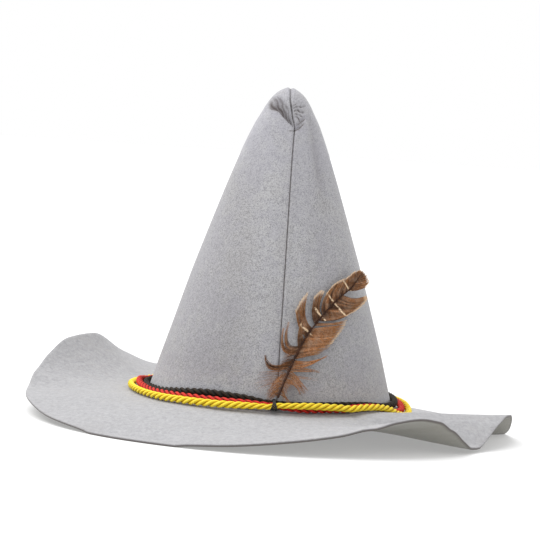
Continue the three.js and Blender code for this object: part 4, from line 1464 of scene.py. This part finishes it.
# %% [markdown]
# ## The quill
#
# The quill is a smooth horn-like stem, dark brown and thinner towards the tip. It is a
# round tube on the feather's own line, with its ends drawn to a point.

# %% Quill finish
quill = Finish("feather_quill")
quill_grain = quill.noise(1.2, 3, 0.5, 0, quill.stretched((1, 1, 0.12)))
quill_colour = quill.mix(
    quill_grain.between(0.3, 0.7), (0.016, 0.006, 0.003, 1), (0.060, 0.022, 0.010, 1))
quill.feed(quill.shader, {
    "Base Color": quill_colour,
    "Roughness": 0.5,
    "Normal": quill.bump(quill_grain, 0.05, 0.4),
    "Specular IOR Level": 0.15,
})
print("quill's finish:", quill.material.name)

# %% Make the quill
quill_steps = 90
quill_sides = 12
quill_proud = 0.25
quill_radius = 0.95
quill_taper = 0.72
quill_along = np.linspace(0, feather_length, quill_steps)
quill_path = feather_point(quill_along, np.zeros(quill_steps), np.full(quill_steps, quill_proud))
quill_thick = quill_radius * (1 - quill_taper * quill_along / feather_length)
quill_thick[0] = 0.2
quill_thick[-1] = 0.05
quill_grid = sweep_tube(quill_path, quill_thick, quill_sides, False)
quill_points = np.concatenate([quill_grid.reshape(-1, 3), quill_path[:1], quill_path[-1:]])
quill_last_ring = (quill_steps - 1) * quill_sides + np.arange(quill_sides)
quill_faces = [
    grid_faces(quill_steps, quill_sides, loop_columns=True),
    fan_faces(quill_steps * quill_sides, np.arange(quill_sides)[::-1]),
    fan_faces(quill_steps * quill_sides + 1, quill_last_ring),
]
make_piece(
    "feather_quill", quill_points + foot_centre, quill_faces, quill.material)

# %% [markdown]
# ## Floor and light
#
# The photograph has an even white ground and soft light from all round, stronger from
# above and a little from behind on the left. A white sky gives the even part. A sun with
# a very wide disc gives the rest, because its light is the same all over the floor, which
# then stays white as far as the horizon. The floor also glows a little, as a light table
# does, so that the shadow stays pale. The colours are shown as they are, with no film
# curve.

# %% Floor
floor_finish = Finish("pale_floor")
floor_finish.feed(floor_finish.shader, {
    "Base Color": (0.55, 0.55, 0.55, 1),
    "Emission Color": (1, 1, 1, 1),
    "Emission Strength": 0.3,
    "Roughness": 1.0,
    "Specular IOR Level": 0.0,
})
# the floor goes on far past the hat, so that its edge never shows
far = 400.0
floor_mesh = bpy.data.meshes.new("floor")
floor_mesh.from_pydata(
    [(-far, -far, 0), (far, -far, 0), (far, far, 0), (-far, far, 0)], [], [(0, 1, 2, 3)])
floor_mesh.materials.append(floor_finish.material)
floor = bpy.data.objects.new("floor", floor_mesh)
bpy.context.scene.collection.objects.link(floor)
print("floor reaches", far, "metres to each side")


# %% Light
def add_sun(name, comes_from, disc, power):
    """Light from one direction, softened by the width of its disc in degrees."""
    data = bpy.data.lights.new(name, "SUN")
    data.angle = math.radians(disc)
    data.energy = power
    lamp = bpy.data.objects.new(name, data)
    lamp.rotation_euler = Vector(comes_from).to_track_quat("Z", "Y").to_euler()
    bpy.context.scene.collection.objects.link(lamp)


add_sun("key", (-0.47, 0.16, 1.0), 60, 2.8)
world = bpy.data.worlds.new("white_room")
world.use_nodes = True
world.node_tree.nodes["Background"].inputs["Color"].default_value = (1, 1, 1, 1)
world.node_tree.nodes["Background"].inputs["Strength"].default_value = 1.0
bpy.context.scene.world = world
bpy.context.scene.view_settings.view_transform = "Standard"

# %% [markdown]
# ## Felt as cloth
#
# The brim was cut as a flat ring and the crown as a sector of a disc that was rolled into
# a cone. The crown's cloth is worked out from the finished cone, as the length of its
# outline times its mean girth, and counts as stretched, because felt is blocked over a
# form.

slant = np.linspace(0, crown_way, 500)
crown_area = 2 * math.pi * np.mean(crown_outline(slant)[0]) * crown_way * mm**2
